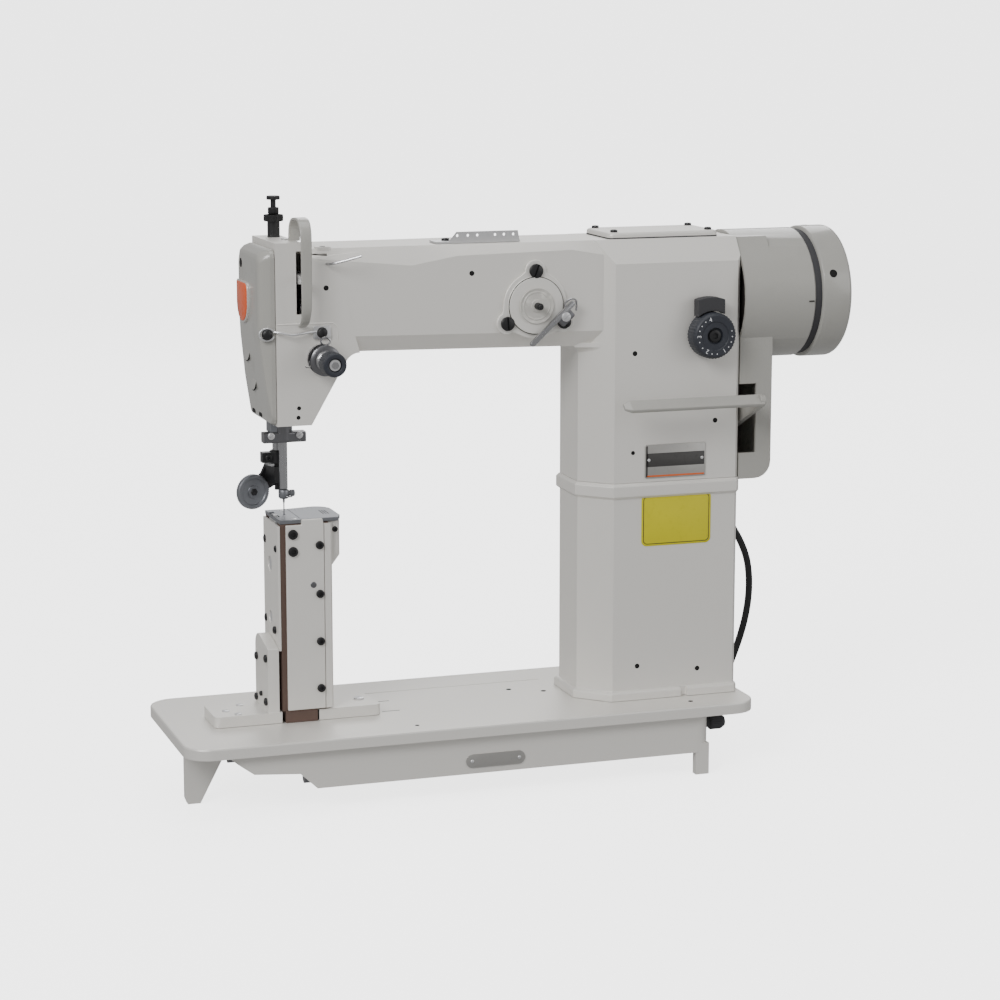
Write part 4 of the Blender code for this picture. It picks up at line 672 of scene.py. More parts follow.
    def dome(
        self,
        name: str,
        place: Point,
        facing: Facing,
        radius: float,
        finish: Finish = Finish.OXIDE,
        height: float = 2.6,
    ) -> None:
        """A round head, or a flat plug if it is low."""
        shares = ((-0.2, 1.0), (0.25, 1.0), (0.62, 0.88), (0.88, 0.62), (1.0, 0.25))
        profile = [(z * height, radius * share) for z, share in shares]
        self.put(name, turned(profile, 36), finish, "machine", facing.matrix(place), sharp=50)

    def recess_shade(
        self, name: str, place: Point, facing: Facing, radius: float, body: str = "machine"
    ) -> None:
        """A near-black disc of painted shade for the mouth of a tapped hole, with a soft rim."""
        rim = [(-0.3, radius), (0.14, radius), (0.16, 0.82 * radius), (0.05, 0.8 * radius)]
        self.put(name, turned(rim, 24), Finish.RECESS_SHADE, body, facing.matrix(place), sharp=40)


# --------------------------------------------------------------------------- sub-assemblies


@dataclass
class Bed:
    """The bed plate: its rails, oil plate and small fittings."""

    shop: Workshop
    plate_middle: Pair = (13.4, -33.1)
    plate_half: Pair = (27.0, 6.0)
    top_holes: tuple[tuple[float, float, float], ...] = (
        (60.0, 21.0, 2.4),
        (88.0, 6.0, 2.4),
        (-54.0, -70.0, 1.9),
        (200.0, -70.0, 2.2),
    )

    def build(self) -> None:
        """Dresses the bed and adds its fittings."""
        shop = self.shop
        shop.eased("bed_casting", 1.3, Finish.ENAMEL)
        face = -BED_SKIRT
        x, z = self.plate_middle
        outline = arc(21.0, 0, 6.0, -90, 90, 12) + arc(-21.0, 0, 6.0, 90, 270, 12)
        at = Facing.FRONT.matrix((x, face, z))
        shop.put("maker_plate", plate(outline, -0.3, 0.9, 0.3), Finish.PLATE, "machine", at)
        for i, off in enumerate((-21.5, 21.5)):
            dome = [(0.6, 1.7), (1.3, 1.5), (1.8, 0.9), (1.95, 0.3)]
            at = Facing.FRONT.matrix((x + off, face, z))
            shop.put(f"maker_plate_rivet_{i}", turned(dome, 20), Finish.STEEL, "machine", at)
        for i, (hole_x, hole_y, radius) in enumerate(self.top_holes):
            shop.recess_shade(f"bed_hole_{i}", (hole_x, hole_y, 0), Facing.UP, radius)
        shop.put("bed_rail", wire(self._rail(), 1.5, 12), Finish.ENAMEL, "machine")
        # Two near-black wires of painted shade stand in for the shade in the plate's grooves.
        for i, (start, y) in enumerate(((-70.0, 17.0), (-70.0, -17.0))):
            groove = [(start, y, -0.25), (start + 16, y, -0.25)]
            shop.put(f"bed_groove_{i}", wire(groove, 0.5, 8), Finish.RECESS_SHADE, "machine")
        stud = [(-4.0, 5.0), (0.0, 5.0), (6.0, 5.0), (7.0, 4.0)]
        for i, place in enumerate(((-214.0, -56.0, -17.0), (-150.0, -66.0, -38.0))):
            at = Matrix.Translation(place) @ Matrix.Rotation(math.pi / 2, 4, "Y")
            shop.put(f"bed_stud_{i}", turned(stud, 24), Finish.GUIDE_STEEL, "machine", at)
        low, high = shop.side("bed_end_knob")
        self._knob((low.x, (low.y + high.y) / 2, (low.z + high.z) / 2), high.x - low.x)

    def _rail(self) -> list[tuple[float, float, float]]:
        """The low ridge that frames the working part of the plate."""
        corner = arc(-74.0, 40.0, 8.0, 180, 90, 8)
        points = [(-82.0, 26.0)] + corner + [(20.0, 48.0), (60.0, 48.0), (98.0, 48.0)]
        return [(u, v, -0.9) for u, v in points]

    def _knob(self, start: Point, length: float) -> None:
        """The ribbed hand nut at the bed's right end."""
        profile = [(0, 4.5), (5, 4.5), (6, 6.2), (6.6, 6.8), (length - 4, 6.8)]
        profile += [(length - 3, 6.3), (length, 4.5)]
        at = Facing.RIGHT.matrix(start)
        mesh = knurled(profile, 18, 0.5)
        self.shop.put("bed_knob", mesh, Finish.BLACK, "bed_knob_body", at, ("bed_end_knob",))


@dataclass
class Column:
    """The column: its castings, plates, label and tapped holes."""

    shop: Workshop
    holes: tuple[tuple[float, float, float], ...] = (
        (157.2, 30.4, 2.2),
        (215.0, 23.9, 2.2),
        (152.5, 310.6, 2.2),
        (229.0, 248.2, 2.2),
        (151.5, 222.9, 1.8),
    )
    label: tuple[float, float, float, float] = (193.0, 161.8, 33.0, 23.2)
    name_plate: tuple[float, float, float, float] = (191.4, 214.5, 28.7, 15.0)

    def build(self) -> None:
        """Dresses the column and adds its details."""
        shop = self.shop
        shop.eased("riser_column", 1.2, Finish.ENAMEL)
        shop.eased("arm_casting", 1.6, Finish.ENAMEL)
        shop.eased("arm_top_cover", 0.9, Finish.ENAMEL)
        shop.eased("arm_rear_cover", 0.9, Finish.ENAMEL)
        for i, (x, z, radius) in enumerate(self.holes):
            shop.recess_shade(f"column_hole_{i}", (x, COLUMN_FACE, z), Facing.FRONT, radius)
        low, high = shop.side("arm_top_cover")
        for i, x in enumerate((low.x + 7, high.x - 7)):
            for j, y in enumerate((low.y + 7, high.y - 7)):
                place = (x, y, high.z)
                shop.socket_screw(f"top_cover_screw_{i}{j}", place, Facing.UP, 3.2)
        half_x, half_y = (high.x - low.x) / 2 + 0.4, (high.y - low.y) / 2 + 0.4
        at = Matrix.Translation(((low.x + high.x) / 2, (low.y + high.y) / 2, low.z))
        gasket = plate(rounded(half_x, half_y, 5.4), -0.4, 0.7, 0.2)
        shop.put("top_cover_gasket", gasket, Finish.BLACK, "machine", at)
        low, high = shop.side("arm_rear_cover")
        for i, x in enumerate((low.x + 7, high.x - 7)):
            for j, z in enumerate((low.z + 7, high.z - 7)):
                place = (x, high.y, z)
                shop.screw(f"rear_cover_screw_{i}{j}", place, Facing.BACK, 3.6)
        self._label()
        self._name_plate()

    def _label(self) -> None:
        """A blank yellow label with a printed frame."""
        x, z, half_u, half_v = self.label
        at = Facing.FRONT.matrix((x, COLUMN_FACE, z))
        put = self.shop.put
        face = plate(rounded(half_u, half_v, 5.0), -0.2, 0.35, 0.1)
        put("yellow_label", face, Finish.YELLOW, "machine", at)
        outer = rounded(half_u - 1.6, half_v - 1.6, 3.8)
        inner = rounded(half_u - 2.3, half_v - 2.3, 3.2)
        loops = [[(u, v, 0.2) for u, v in outer], [(u, v, 0.40) for u, v in outer]]
        loops += [[(u, v, 0.40) for u, v in inner], [(u, v, 0.2) for u, v in inner]]
        put("yellow_label_frame", loft(loops, True), Finish.LABEL_INK, "machine", at)

    def _name_plate(self) -> None:
        """A blank banded plate held by two rivets."""
        x, z, half_u, half_v = self.name_plate
        put = self.shop.put
        at = Facing.FRONT.matrix((x, COLUMN_FACE, z))
        outline = rounded(half_u, half_v, 1.5)
        put("column_plate", plate(outline, -0.2, 0.9, 0.3), Finish.PLATE, "machine", at)
        bands = (
            ("dark", 0.0, 1.2, half_u - 1.2, 6.0, Finish.PLATE_DARK),
            ("orange", 0.0, 1.9 - half_v, half_u - 1.2, 0.7, Finish.ORANGE_INK),
            ("edge", 1.6 - half_u, 0.0, 0.8, half_v - 1.2, Finish.PLATE_DARK),
        )
        for name, u, v, wide, tall, finish in bands:
            at = Facing.FRONT.matrix((x + u, COLUMN_FACE, z + v))
            band = plate(rounded(wide, tall, 0.4), 0.4, 1.05, 0.1)
            put(f"column_plate_{name}", band, finish, "machine", at)
        for i, off in enumerate((3.6 - half_u, half_u - 3.6)):
            dome = [(0.4, 1.5), (1.2, 1.35), (1.6, 0.8), (1.75, 0.3)]
            at = Facing.FRONT.matrix((x + off, COLUMN_FACE, z + 1.2))
            put(f"column_plate_rivet_{i}", turned(dome, 20), Finish.STEEL, "machine", at)


@dataclass
class Head:
    """The head's end cover, guard, thread guides and small fittings."""

    shop: Workshop
    face: float = -40.4

    def build(self) -> None:
        """Dresses the head and adds its details."""
        shop = self.shop
        shop.eased("face_plate", 1.6, Finish.GREY, 30)
        self._guard()
        shop.eased("top_thread_guide", 0.4, Finish.STEEL, 40)
        shop.eased("take_up_lever", 0.5, Finish.STEEL, 30)
        shop.dress(Finish.OXIDE, "pressure_sleeve")
        self._front_guide()
        self._badge()
        self._face_fittings()
        self._thread_pin()
        self._regulator()
        self._guide_fittings()

    def _guard(self) -> None:
        """The tapered band that loops over the take-up lever."""
        low, high = self.shop.side("take_up_guard")
        middle = (low.x + high.x) / 2
        front, top = low.y + 1.4, high.z - 1.4
        path = [(-42.3, low.z - 1), (-50.5, low.z + 2.5), (-56.0, low.z + 9), (front, low.z + 20)]
        path += [(front, low.z + 44), (front, top - 16), (front + 3.4, top - 5.5), (front + 11, top)]
        path += [(-33.0, top), (-25.5, top - 2.2), (-20.4, top - 8.0), (-18.4, top - 19.4)]
        places = [Vector((middle, y, z)) for y, z in path]
        places = smooth_path(places, 4)
        loops = []
        for i, place in enumerate(places):
            ahead = places[min(i + 1, len(places) - 1)] - places[max(i - 1, 0)]
            ahead.normalize()
            out = ahead.cross(Vector((1, 0, 0)))
            half = 3.6 + 1.5 * min(1.0, i / (0.55 * len(places)))
            section = rounded(half, 1.2, 1.1, 4)
            loops.append([place + Vector((u, 0, 0)) + v * out for u, v in section])
        band = loft(loops)
        self.shop.put("guard_band", band, Finish.GREY, "machine", replaces=("take_up_guard",))
        strip = plate(rounded(6.5, 4.0, 0.8), -0.3, 1.3, 0.3)
        at = Facing.UP.matrix((middle - 1.5, -8.0, 415.0))
        self.shop.put("head_strip", strip, Finish.STEEL, "machine", at)

    def _front_guide(self) -> None:
        """The wire guide across the head's front, between two round-headed screws."""
        put = self.shop.put
        front = self.face - 1.7
        left, right, z = -174.3, -126.9, 339.5
        turns = sweep(20, 340, 28)
        loop = [(left + 6.4 * math.cos(a), front, z + 5.0 * math.sin(a)) for a in turns]
        mesh = wire(loop, 0.9, 10)
        put("guide_loop", mesh, Finish.STEEL, "machine", replaces=("front_thread_guide",))
        bar = [(left + 6.0, front, z + 1.9), (-163.0, front - 2.6, z + 1.4)]
        bar += [(-154.0, front - 4.2, z - 0.6)]
        bar += [(-145.0, front - 3.2, z + 0.2), (-137.0, front - 0.8, z + 0.8), (-131.0, front, z + 0.6)]
        put("guide_bar", wire(smooth_path(bar, 5), 1.0, 10), Finish.STEEL, "machine")
        at = Facing.FRONT.matrix((right, self.face, z))
        put("guide_foot", plate(rounded(7.6, 5.6, 1.8), 0.1, 2.1, 0.4), Finish.STEEL, "machine", at)
        self.shop.dome("guide_screw_0", (left, front - 0.4, z), Facing.FRONT, 4.6)
        self.shop.dome("guide_screw_1", (right, self.face - 2.1, z), Facing.FRONT, 4.6)
        edge = [(-165.0, self.face + 0.35, 347.0)]
        edge += [(u, self.face + 0.35, v) for u, v in arc(-118.5, 341.5, 5.5, 90, 0, 6)]
        edge += [(-113.0, self.face + 0.35, 333.0)]
        put("head_pad_edge", wire(edge, 0.8, 10), Finish.ENAMEL, "machine")

    def _badge(self) -> None:
        """The blank orange shield on the end cover."""
        low, high = self.shop.side("face_plate")
        crown = [(-17.0, 15.2)] + arc(10.6, 9.4, 6, 90, 0, 5) + [(17.0, -3.8)]
        foot = arc(0, -1.9, 17, -8, -172, 14) + [(-17.0, -3.8)]
        shield = [(u, v * 0.96) for u, v in crown + foot]
        at = Facing.LEFT.matrix((low.x, 10.0, high.z - 46))
        rim = [(u * 1.08, v * 1.08) for u, v in shield]
        put = self.shop.put
        put("badge_rim", plate(rim[::-1], -1.0, 2.2, 0.6), Finish.BADGE_RIM, "machine", at)
        put("badge_face", plate(shield[::-1], 1.0, 3.0, 0.5), Finish.BADGE, "machine", at)

    def _face_fittings(self) -> None:
        """Plugs, screw pockets and a hole in the end cover; the plugs' rims, the pockets and the hole are
        near-black painted shade.
        """
        low, high = self.shop.side("face_plate")
        for i, (y, z) in enumerate(((14.0, 318.0), (3.0, 294.0))):
            tilt = Matrix.Rotation(-0.13, 4, "X")
            at = Facing.LEFT.matrix((self._lean(z), y, z)) @ tilt
            # A thin near-black ring of painted shade stands in for the groove round the plug.
            groove = [(-0.6, 7.6), (0.16, 7.6), (0.18, 7.0)]
            self.shop.put(f"face_plug_rim_{i}", turned(groove), Finish.RECESS_SHADE, "machine", at)
            cap = [(-0.5, 6.9), (0.35, 6.9), (0.55, 6.6)]
            self.shop.put(f"face_plug_{i}", turned(cap), Finish.GREY, "machine", at)
        self.shop.recess_shade("face_hole", (low.x, 22.0, high.z - 16.0), Facing.LEFT, 4.0)
        for i, y in enumerate((-1.0, 23.0)):
            z = low.z + 5.4
            at = Facing.LEFT.matrix((self._lean(z) - 0.2, y, z))
            # Near-black painted shade stands in for the inside of each screw pocket.
            pocket = plate(rounded(5.0, 1.8, 1.6), -0.4, 0.12, 0.05)
            self.shop.put(f"face_slot_{i}", pocket, Finish.RECESS_SHADE, "machine", at)

    def _lean(self, z: float) -> float:
        """X of the end cover's outside at a height."""
        low, high = self.shop.side("face_plate")
        right = high.x
        stations = ((2, -4.0), (30, -8.5), (66, -12.5), (80, -14.2), (200, -14.2))
        rise = z - low.z
        for (z0, x0), (z1, x1) in zip(stations, stations[1:]):
            if rise <= z1:
                return right + x0 + (x1 - x0) * max(0.0, rise - z0) / (z1 - z0)
        return right + stations[-1][1]

    def _thread_pin(self) -> None:
        """The thin thread pin on the head's front, and the boss above it."""
        path = [(-121.6, self.face + 3, 396.6), (-121.6, self.face - 3, 397.0)]
        path += [(-118.0, self.face - 8, 397.8), (-107.0, self.face - 14, 401.0)]
        path += [(-96.6, self.face - 19, 404.4)]
        pin = wire(smooth_path(path, 5), 1.1)
        self.shop.put("thread_pin", pin, Finish.ROUND_STEEL, "machine")
        at = Facing.UP.matrix((-122.4, -29.0, 406.0))
        boss = plate(rounded(6.5, 4.6, 1.8), -2.0, 4.4, 0.5)
        self.shop.put("arm_boss", boss, Finish.ENAMEL, "machine", at)
        self.shop.recess_shade("arm_boss_hole", (-122.4, -29.0, 410.4), Facing.UP, 2.3)
        for i, (x, z, r) in enumerate(((-122.5, 376.6, 2.2), (-147.2, 276.0, 1.7), (-147.8, 268.0, 1.7))):
            self.shop.recess_shade(f"head_hole_{i}", (x, self.face, z), Facing.FRONT, r)
        self.shop.recess_shade("arm_hole", (5.9, -40.0, 384.7), Facing.FRONT, 2.2)

    def _regulator(self) -> None:
        """The pressure screw with its ribbed collar."""
        low, high = self.shop.side("pressure_screw")
        top = high.z
        x, y = (low.x + high.x) / 2, (low.y + high.y) / 2
        profile = [(-44, 3.2), (-15.4, 3.2), (-15.3, 4.4), (-14.8, 4.7), (-10.4, 4.7), (-9.8, 4.3)]
        neck = [(-9.7, 2.3), (-3.6, 2.3), (-3.3, 5.4), (-2.8, 5.8), (-0.7, 5.8), (0, 5.2)]
        at = Matrix.Translation((x, y, top))
        mesh = gathered(turned(profile, 40), turned(neck, 40))
        body = "pressure_screw_body"
        self.shop.put(
            "pressure_screw_turned", mesh, Finish.OXIDE, body, at, ("pressure_screw",)
        )
        low, high = self.shop.side("pressure_sleeve")
        collar = [(-5.3, 7.8), (-4.9, 8.45), (-0.5, 8.45), (0.0, 7.9)]
        at = Matrix.Translation((x, y, high.z))
        ribs = knurled(collar, 30, 0.35)
        self.shop.put("pressure_collar", ribs, Finish.OXIDE, "machine", at)

    def _guide_fittings(self) -> None:
        """Screws of the thread guides and of the needle bar guide."""
        low, high = self.shop.side("needle_bar_guide")
        for i, x in enumerate((low.x + 6, high.x - 6)):
            place = (x, low.y + 1.2, low.z + 6.4)
            self.shop.screw(
                f"bar_guide_screw_{i}", place, Facing.FRONT, 3.0, finish=Finish.STEEL
            )
        block = rounded(10.0, 7.0, 1.2)
        at = Matrix.Translation(((low.x + high.x) / 2 - 3, 2.0, low.z + 9.2))
        self.shop.put("bar_guide_block", plate(block, 0, 10.0, 0.6), Finish.DARK_STEEL, "machine", at)
        low, high = self.shop.side("top_thread_guide")
        for i, x in enumerate((low.x + 12.0, high.x - 8.0)):
            place = (x, high.y - 7.0, low.z + 1.6)
            self.shop.socket_screw(f"top_guide_screw_{i}", place, Facing.UP, 3.4)


@dataclass
class TensionUnit:
    """Tension discs, spring and knob, with the check spring."""

    shop: Workshop
    turns: int = 5

    def build(self) -> None:
        """Makes the fine pieces over their CAD stand-ins."""
        shop = self.shop
        shop.dress(Finish.ROUND_STEEL, "tension_post")
        knob_low, knob_high = shop.side("tension_knob")
        x = (knob_low.x + knob_high.x) / 2
        z = (knob_low.z + knob_high.z) / 2
        disc_low, disc_high = shop.side("tension_discs")
        at = Facing.FRONT.matrix((x, disc_high.y, z))
        depth = disc_high.y - disc_low.y
        disc = [(0.0, 3.4), (0.0, 9.2), (0.9, 12.7), (1.3, 13.1), (1.55, 12.9), (0.75, 9.0)]
        disc += [(0.75, 3.4)]
        second = [(depth - h, r) for h, r in disc]
        mesh = gathered(turned(disc, 56, True), turned(second, 56, True))
        shop.put("discs", mesh, Finish.GUIDE_STEEL, "machine", at, ("tension_discs",))
        self._spring(x, z, disc_low.y - 0.8, knob_high.y + 0.6)
        length = knob_high.y - knob_low.y
        profile = [(0, 9.0), (0.8, 10.4), (2.2, 10.5), (length - 2.6, 10.3), (length - 0.9, 10.0)]
        profile += [(length - 0.1, 9.1), (length, 8.4), (length, 6.4)]
        profile += [(length - 0.4, 5.7), (length - 4.0, 5.5)]
        at = Facing.FRONT.matrix((x, knob_high.y, z))
        mesh = knurled(profile, 36, 0.28)
        shop.put("knob", mesh, Finish.DIAL, "tension_knob_body", at, ("tension_knob",))
        nut = [(length - 4.2, 5.0), (length - 1.6, 5.0), (length - 1.3, 4.7), (length - 1.3, 2.9)]
        nut += [(length - 3.4, 2.8), (length - 4.2, 2.8)]
        shop.put("knob_nut", turned(nut, 40, True), Finish.STEEL, "tension_knob_body", at)
        # A near-black disc of painted shade at the bottom of the knob's hole.
        bottom = [(length - 4.4, 2.9), (length - 3.6, 2.9)]
        shop.put("knob_hole", turned(bottom, 24), Finish.RECESS_SHADE, "tension_knob_body", at)
        self._check_spring(x, z)
        eye = [
            (x + 4.0 * math.cos(a), disc_low.y + 2, z + 16.5 + 3.2 * math.sin(a))
            for a in sweep(-70, 250, 24)
        ]
        shop.put("tension_eye", wire(eye, 0.9, 8), Finish.ROUND_STEEL, "machine")
        shop.screw("tension_eye_screw", (x + 3.0, -40.7, z + 23.5), Facing.FRONT, 2.8)

    def _spring(self, x: float, z: float, back: float, front: float) -> None:
        """The conical pressure spring."""
        path = []
        steps = 22 * self.turns
        for i in range(steps + 1):
            share = i / steps
            radius = 8.6 - 1.9 * share
            turn = TURN * self.turns * share
            y = back + (front - back) * share
            path.append((x + radius * math.cos(turn), y, z + radius * math.sin(turn)))
        spring = wire(path, 0.75, 8)
        self.shop.put(
            "cone_spring", spring, Finish.ROUND_STEEL, "machine", replaces=("tension_spring",)
        )

    def _check_spring(self, x: float, z: float) -> None:
        """The thread check spring: a wound hub with one long tail."""
        high = self.shop.side("check_spring")[1]
        path = []
        for i in range(66):
            turn = math.radians(200) + TURN * i / 22
            y = high.y - 0.6 - 3.4 * i / 65
            path.append((x + 5.6 * math.cos(turn), y, z + 5.6 * math.sin(turn)))
        end = path[-1]
        path += [(end[0] - 4.0, end[1] - 0.2, end[2] - 1.6), (x - 13.0, end[1] - 0.2, z - 5.9)]
        path += [(x - 15.8, end[1] - 0.2, z - 5.5), (x - 16.6, end[1] - 0.2, z - 4.5)]
        mesh = wire(path, 0.42, 8)
        body = "check_spring_body"
        self.shop.put("check_wire", mesh, Finish.ROUND_STEEL, body, replaces=("check_spring",))


@dataclass
class Winder:
    """The bobbin winder on the arm's front."""

    shop: Workshop
    screw_circle: float = 29.7

    def build(self) -> None:
        """Dresses the winder and adds its screws and spindle."""
        shop = self.shop
        shop.eased("winder_plate", 0.8, Finish.ENAMEL, 30)
        self._lever()
        low, high = shop.side("winder_disc")
        x, z = (low.x + high.x) / 2, (low.z + high.z) / 2
        plate_low, plate_high = shop.side("winder_plate")
        for i in range(3):
            turn = math.radians(90 + 120 * i)
            sx = x + self.screw_circle * math.cos(turn)
            sz = z + self.screw_circle * math.sin(turn)
            place = (sx, plate_high.y - 2.4, sz)
            shop.screw(f"winder_screw_{i}", place, Facing.FRONT, 6.1, height=3.2, slot_turn=70.0 + 25 * i)
        at = Facing.FRONT.matrix((x, plate_low.y, z))
        # A thin near-black ring of painted shade marks the seam round the winder's face.
        ring = turned([(-0.2, 25.0), (0.08, 25.0), (0.10, 24.4)], 72)
        shop.put("winder_ring_line", ring, Finish.RECESS_SHADE, "machine", at)
        inner = turned([(-0.2, 24.3), (0.45, 24.3), (0.65, 24.0)], 72)
        shop.put("winder_face", inner, Finish.ENAMEL, "machine", at)
        self._dish(x, z, plate_low.y - 0.75)
        stem = [(0, 3.0), (10.6, 3.0), (11.2, 2.7), (11.4, 2.1), (13.4, 2.0), (13.7, 1.6)]
        at = Facing.FRONT.matrix((x, low.y + 13.7, z))
        shop.put("winder_spindle", turned(stem, 32), Finish.OXIDE, "winder_disc_body", at)
        low, high = shop.side("winder_lever")
        place = (high.x - 11.5, low.y + 1.0, high.z - 16.5)
        shop.screw("winder_lever_screw", place, Facing.FRONT, 4.0, "winder_lever_body", Finish.STEEL, 1.9)

    def _lever(self) -> None:
        """The slim lever with its block and the bent frame at its root."""
        put = self.shop.put
        low, high = self.shop.side("winder_lever")
        tilt = Matrix.Rotation(math.radians(43), 4, "Z")
        body = "winder_lever_body"
        at = Facing.FRONT.matrix(((low.x + high.x) / 2 + 1.0, high.y - 5.2, (low.z + high.z) / 2)) @ tilt
        finger = plate(rounded(27.0, 2.3, 2.1), -1.0, 1.6, 0.7)
        put("winder_finger", finger, Finish.ROUND_STEEL, body, at, ("winder_lever",))
        at = Facing.FRONT.matrix((high.x - 11.5, high.y - 1.0, high.z - 16.5)) @ tilt
        block = plate(rounded(7.5, 5.4, 2.0), -0.6, 4.6, 0.8)
        put("winder_block", block, Finish.GUIDE_STEEL, body, at)
        x, y, z = high.x - 6.0, low.y + 1.5, high.z - 8.0
        loop = [(x - 4.5, y + 2.0, z - 5.0), (x - 6.0, y, z + 3.0), (x - 1.0, y, z + 6.5)]
        loop += [(x + 4.0, y, z + 5.0), (x + 4.6, y + 1.0, z - 3.5)]
        put("winder_frame", wire(smooth_path(loop, 5), 0.9, 8), Finish.ROUND_STEEL, body)

    def _dish(self, x: float, z: float, back: float) -> None:
        """The thin milky dish with its raised rings."""
        profile = [(0, 2.9), (0, 14.8), (0.6, 15.4), (1.5, 15.5), (1.8, 15.1), (1.5, 14.2)]
        profile += [(1.1, 12.8), (1.5, 12.2), (1.5, 11.5), (1.1, 10.9), (1.2, 5.6), (2.6, 5.0)]
        profile += [(2.8, 2.9)]
        at = Facing.FRONT.matrix((x, back, z))
        dish = turned(profile, 64, True)
        self.shop.put(
            "winder_dish", dish, Finish.MILKY, "winder_disc_body", at, ("winder_disc",)
        )


@dataclass
class Controls:
    """The stitch dial with its latch, and the reverse lever."""

    shop: Workshop
    numerals: tuple[tuple[str, float], ...] = (("4", 109), ("3", 180), ("2", 240), ("1", 303))
    dots: tuple[float, ...] = (127, 145, 162, 198, 219, 258, 276, 321, 339, 357, 15)

    def build(self) -> None:
        """Makes the dial, latch and lever."""
        shop = self.shop
        shop.eased("reverse_lever", 0.9, Finish.GREY, 30)
        shop.eased("dial_latch", 1.2, Finish.BLACK, 30)
        low, high = shop.side("stitch_dial")
        x, z = (low.x + high.x) / 2, (low.z + high.z) / 2
        radius = (high.x - low.x) / 2
        length = COLUMN_FACE - 4.0 - low.y
        profile = [(0, radius - 0.8), (0.8, radius), (length - 3.6, radius), (length - 2.8, radius - 0.3)]
        profile += [(length - 0.8, radius - 1.6), (length, radius - 2.6), (length - 0.2, radius - 7.6)]
        profile += [(length - 0.9, radius - 8.2), (length - 0.9, 7.4), (length - 3.4, 6.6)]
        at = Facing.FRONT.matrix((x, COLUMN_FACE - 4.0, z))
        mesh = knurled(profile, 44, 0.35)
        shop.put("dial", mesh, Finish.DIAL, "dial_body", at, ("stitch_dial",))
        stem = [(-4.6, 4.0), (0.2, 4.0), (0.3, 3.8)]
        shop.put("dial_stem", turned(stem, 24), Finish.STEEL, "dial_body", at)
        shop.socket_screw("dial_screw", (x, low.y + 3.4, z), Facing.FRONT, 5.6, "dial_body", height=2.6)
        self._numbers(x, z, low.y, radius)

    def _numbers(self, x: float, z: float, front: float, radius: float) -> None:
        """Printed figures and dots round the dial's face."""
        for text, angle in self.numerals:
            turn = math.radians(angle)
            curve = bpy.data.curves.new(f"dial_figure_{text}", "FONT")
            curve.body = text
            curve.size = 5.4
            curve.extrude = 0.08
            curve.align_x = "CENTER"
            curve.align_y = "CENTER"
            holder = bpy.data.objects.new("figure", curve)
            bpy.context.scene.collection.objects.link(holder)
            bpy.context.view_layer.update()
            mesh = bmesh.new()
            mesh.from_mesh(holder.to_mesh())
            bpy.data.objects.remove(holder)
            reach = radius - 5.2
            place = (x + reach * math.cos(turn), front + 0.05, z + reach * math.sin(turn))
            at = Facing.FRONT.matrix(place) @ Matrix.Rotation(turn - math.pi / 2, 4, "Z")
            self.shop.put(f"dial_figure_{text}", mesh, Finish.WHITE_PRINT, "dial_body", at)
        for i, angle in enumerate(self.dots):
            turn = math.radians(angle)
            reach = radius - 4.6
            place = (x + reach * math.cos(turn), front + 0.05, z + reach * math.sin(turn))
            dot = turned([(-0.1, 0.55), (0.08, 0.55), (0.1, 0.4)], 16)
            at = Facing.FRONT.matrix(place)
            self.shop.put(f"dial_dot_{i}", dot, Finish.WHITE_PRINT, "dial_body", at)


@dataclass
class Motor:
    """The motor cover and the handwheel."""

    shop: Workshop

    def build(self) -> None:
        """Makes the wheel and dresses the cover."""
        shop = self.shop
        shop.eased("motor_cover", 1.1, Finish.GREY, 30)
        shop.dress(Finish.WINDINGS, "motor_stator")
        low, high = shop.side("handwheel")
        radius = (high.z - low.z) / 2
        z = (high.z + low.z) / 2
        width = high.x - low.x
        profile = [(0, 7.7), (0, radius - 2.2), (0.6, radius - 0.8), (1.6, radius)]
        for angle in (90, 72, 54, 36, 18, 0):
            turn = math.radians(angle)
            profile.append((width - 5 + 5 * math.cos(turn), radius - 5 + 5 * math.sin(turn)))
        profile += [(width - 0.4, radius - 11), (width - 3.0, radius - 14.5), (width - 3.4, 30.0)]
        profile += [(width - 3.0, 20.5), (width - 1.2, 18.5), (width - 1.0, 7.7)]
        at = Facing.RIGHT.matrix((low.x, 0, z))
        shop.put("wheel", turned(profile, 128, True), Finish.GREY, "upper_shaft_body", at, ("handwheel",))
        middle = low.x + width / 2 - 4
        # Near-black discs of painted shade stand in for the insides of the wheel's three holes.
        rim = [(-0.6, 3.6), (0.14, 3.6), (0.16, 3.0), (0.08, 2.9)]
        for i, angle in enumerate((-20.5, -100.0, 100.0)):
            turn = math.radians(angle)
            out = Vector((0, -math.cos(turn), -math.sin(turn)))
            place = Vector((middle, 0, z)) + out * radius
            spin = out.to_track_quat("Z", "Y").to_matrix().to_4x4()
            at = Matrix.Translation(place) @ spin
            shop.put(f"wheel_hole_{i}", turned(rim, 32), Finish.RECESS_SHADE, "upper_shaft_body", at)
        self._cover_details(low.x, radius, z)

    def _cover_details(self, wheel_left: float, radius: float, z: float) -> None:
        """The black gap ring and the index mark."""
        high = self.shop.side("motor_cover")[1]
        ring = [(high.x - 0.5, 56.0), (wheel_left + 0.5, 56.0), (wheel_left + 0.5, 50.5)]
        ring += [(high.x - 0.5, 50.5)]
        at = Facing.RIGHT.matrix((0, 0, z))
        self.shop.put("gap_ring", turned(ring, 96, True), Finish.BLACK, "machine", at)
        mark = plate(rounded(2.6, 0.7, 0.4), -0.3, 0.25, 0.1)
        turn = math.radians(-3)
        out = Vector((0, -math.cos(turn), math.sin(turn)))
        place = Vector((high.x - 4.5, 0, z)) + out * 57.7
        spin = Matrix((Vector((1, 0, 0)), out.cross(Vector((1, 0, 0))), out)).transposed().to_4x4()
        self.shop.put("index_mark", mark, Finish.LABEL_INK, "machine", Matrix.Translation(place) @ spin)


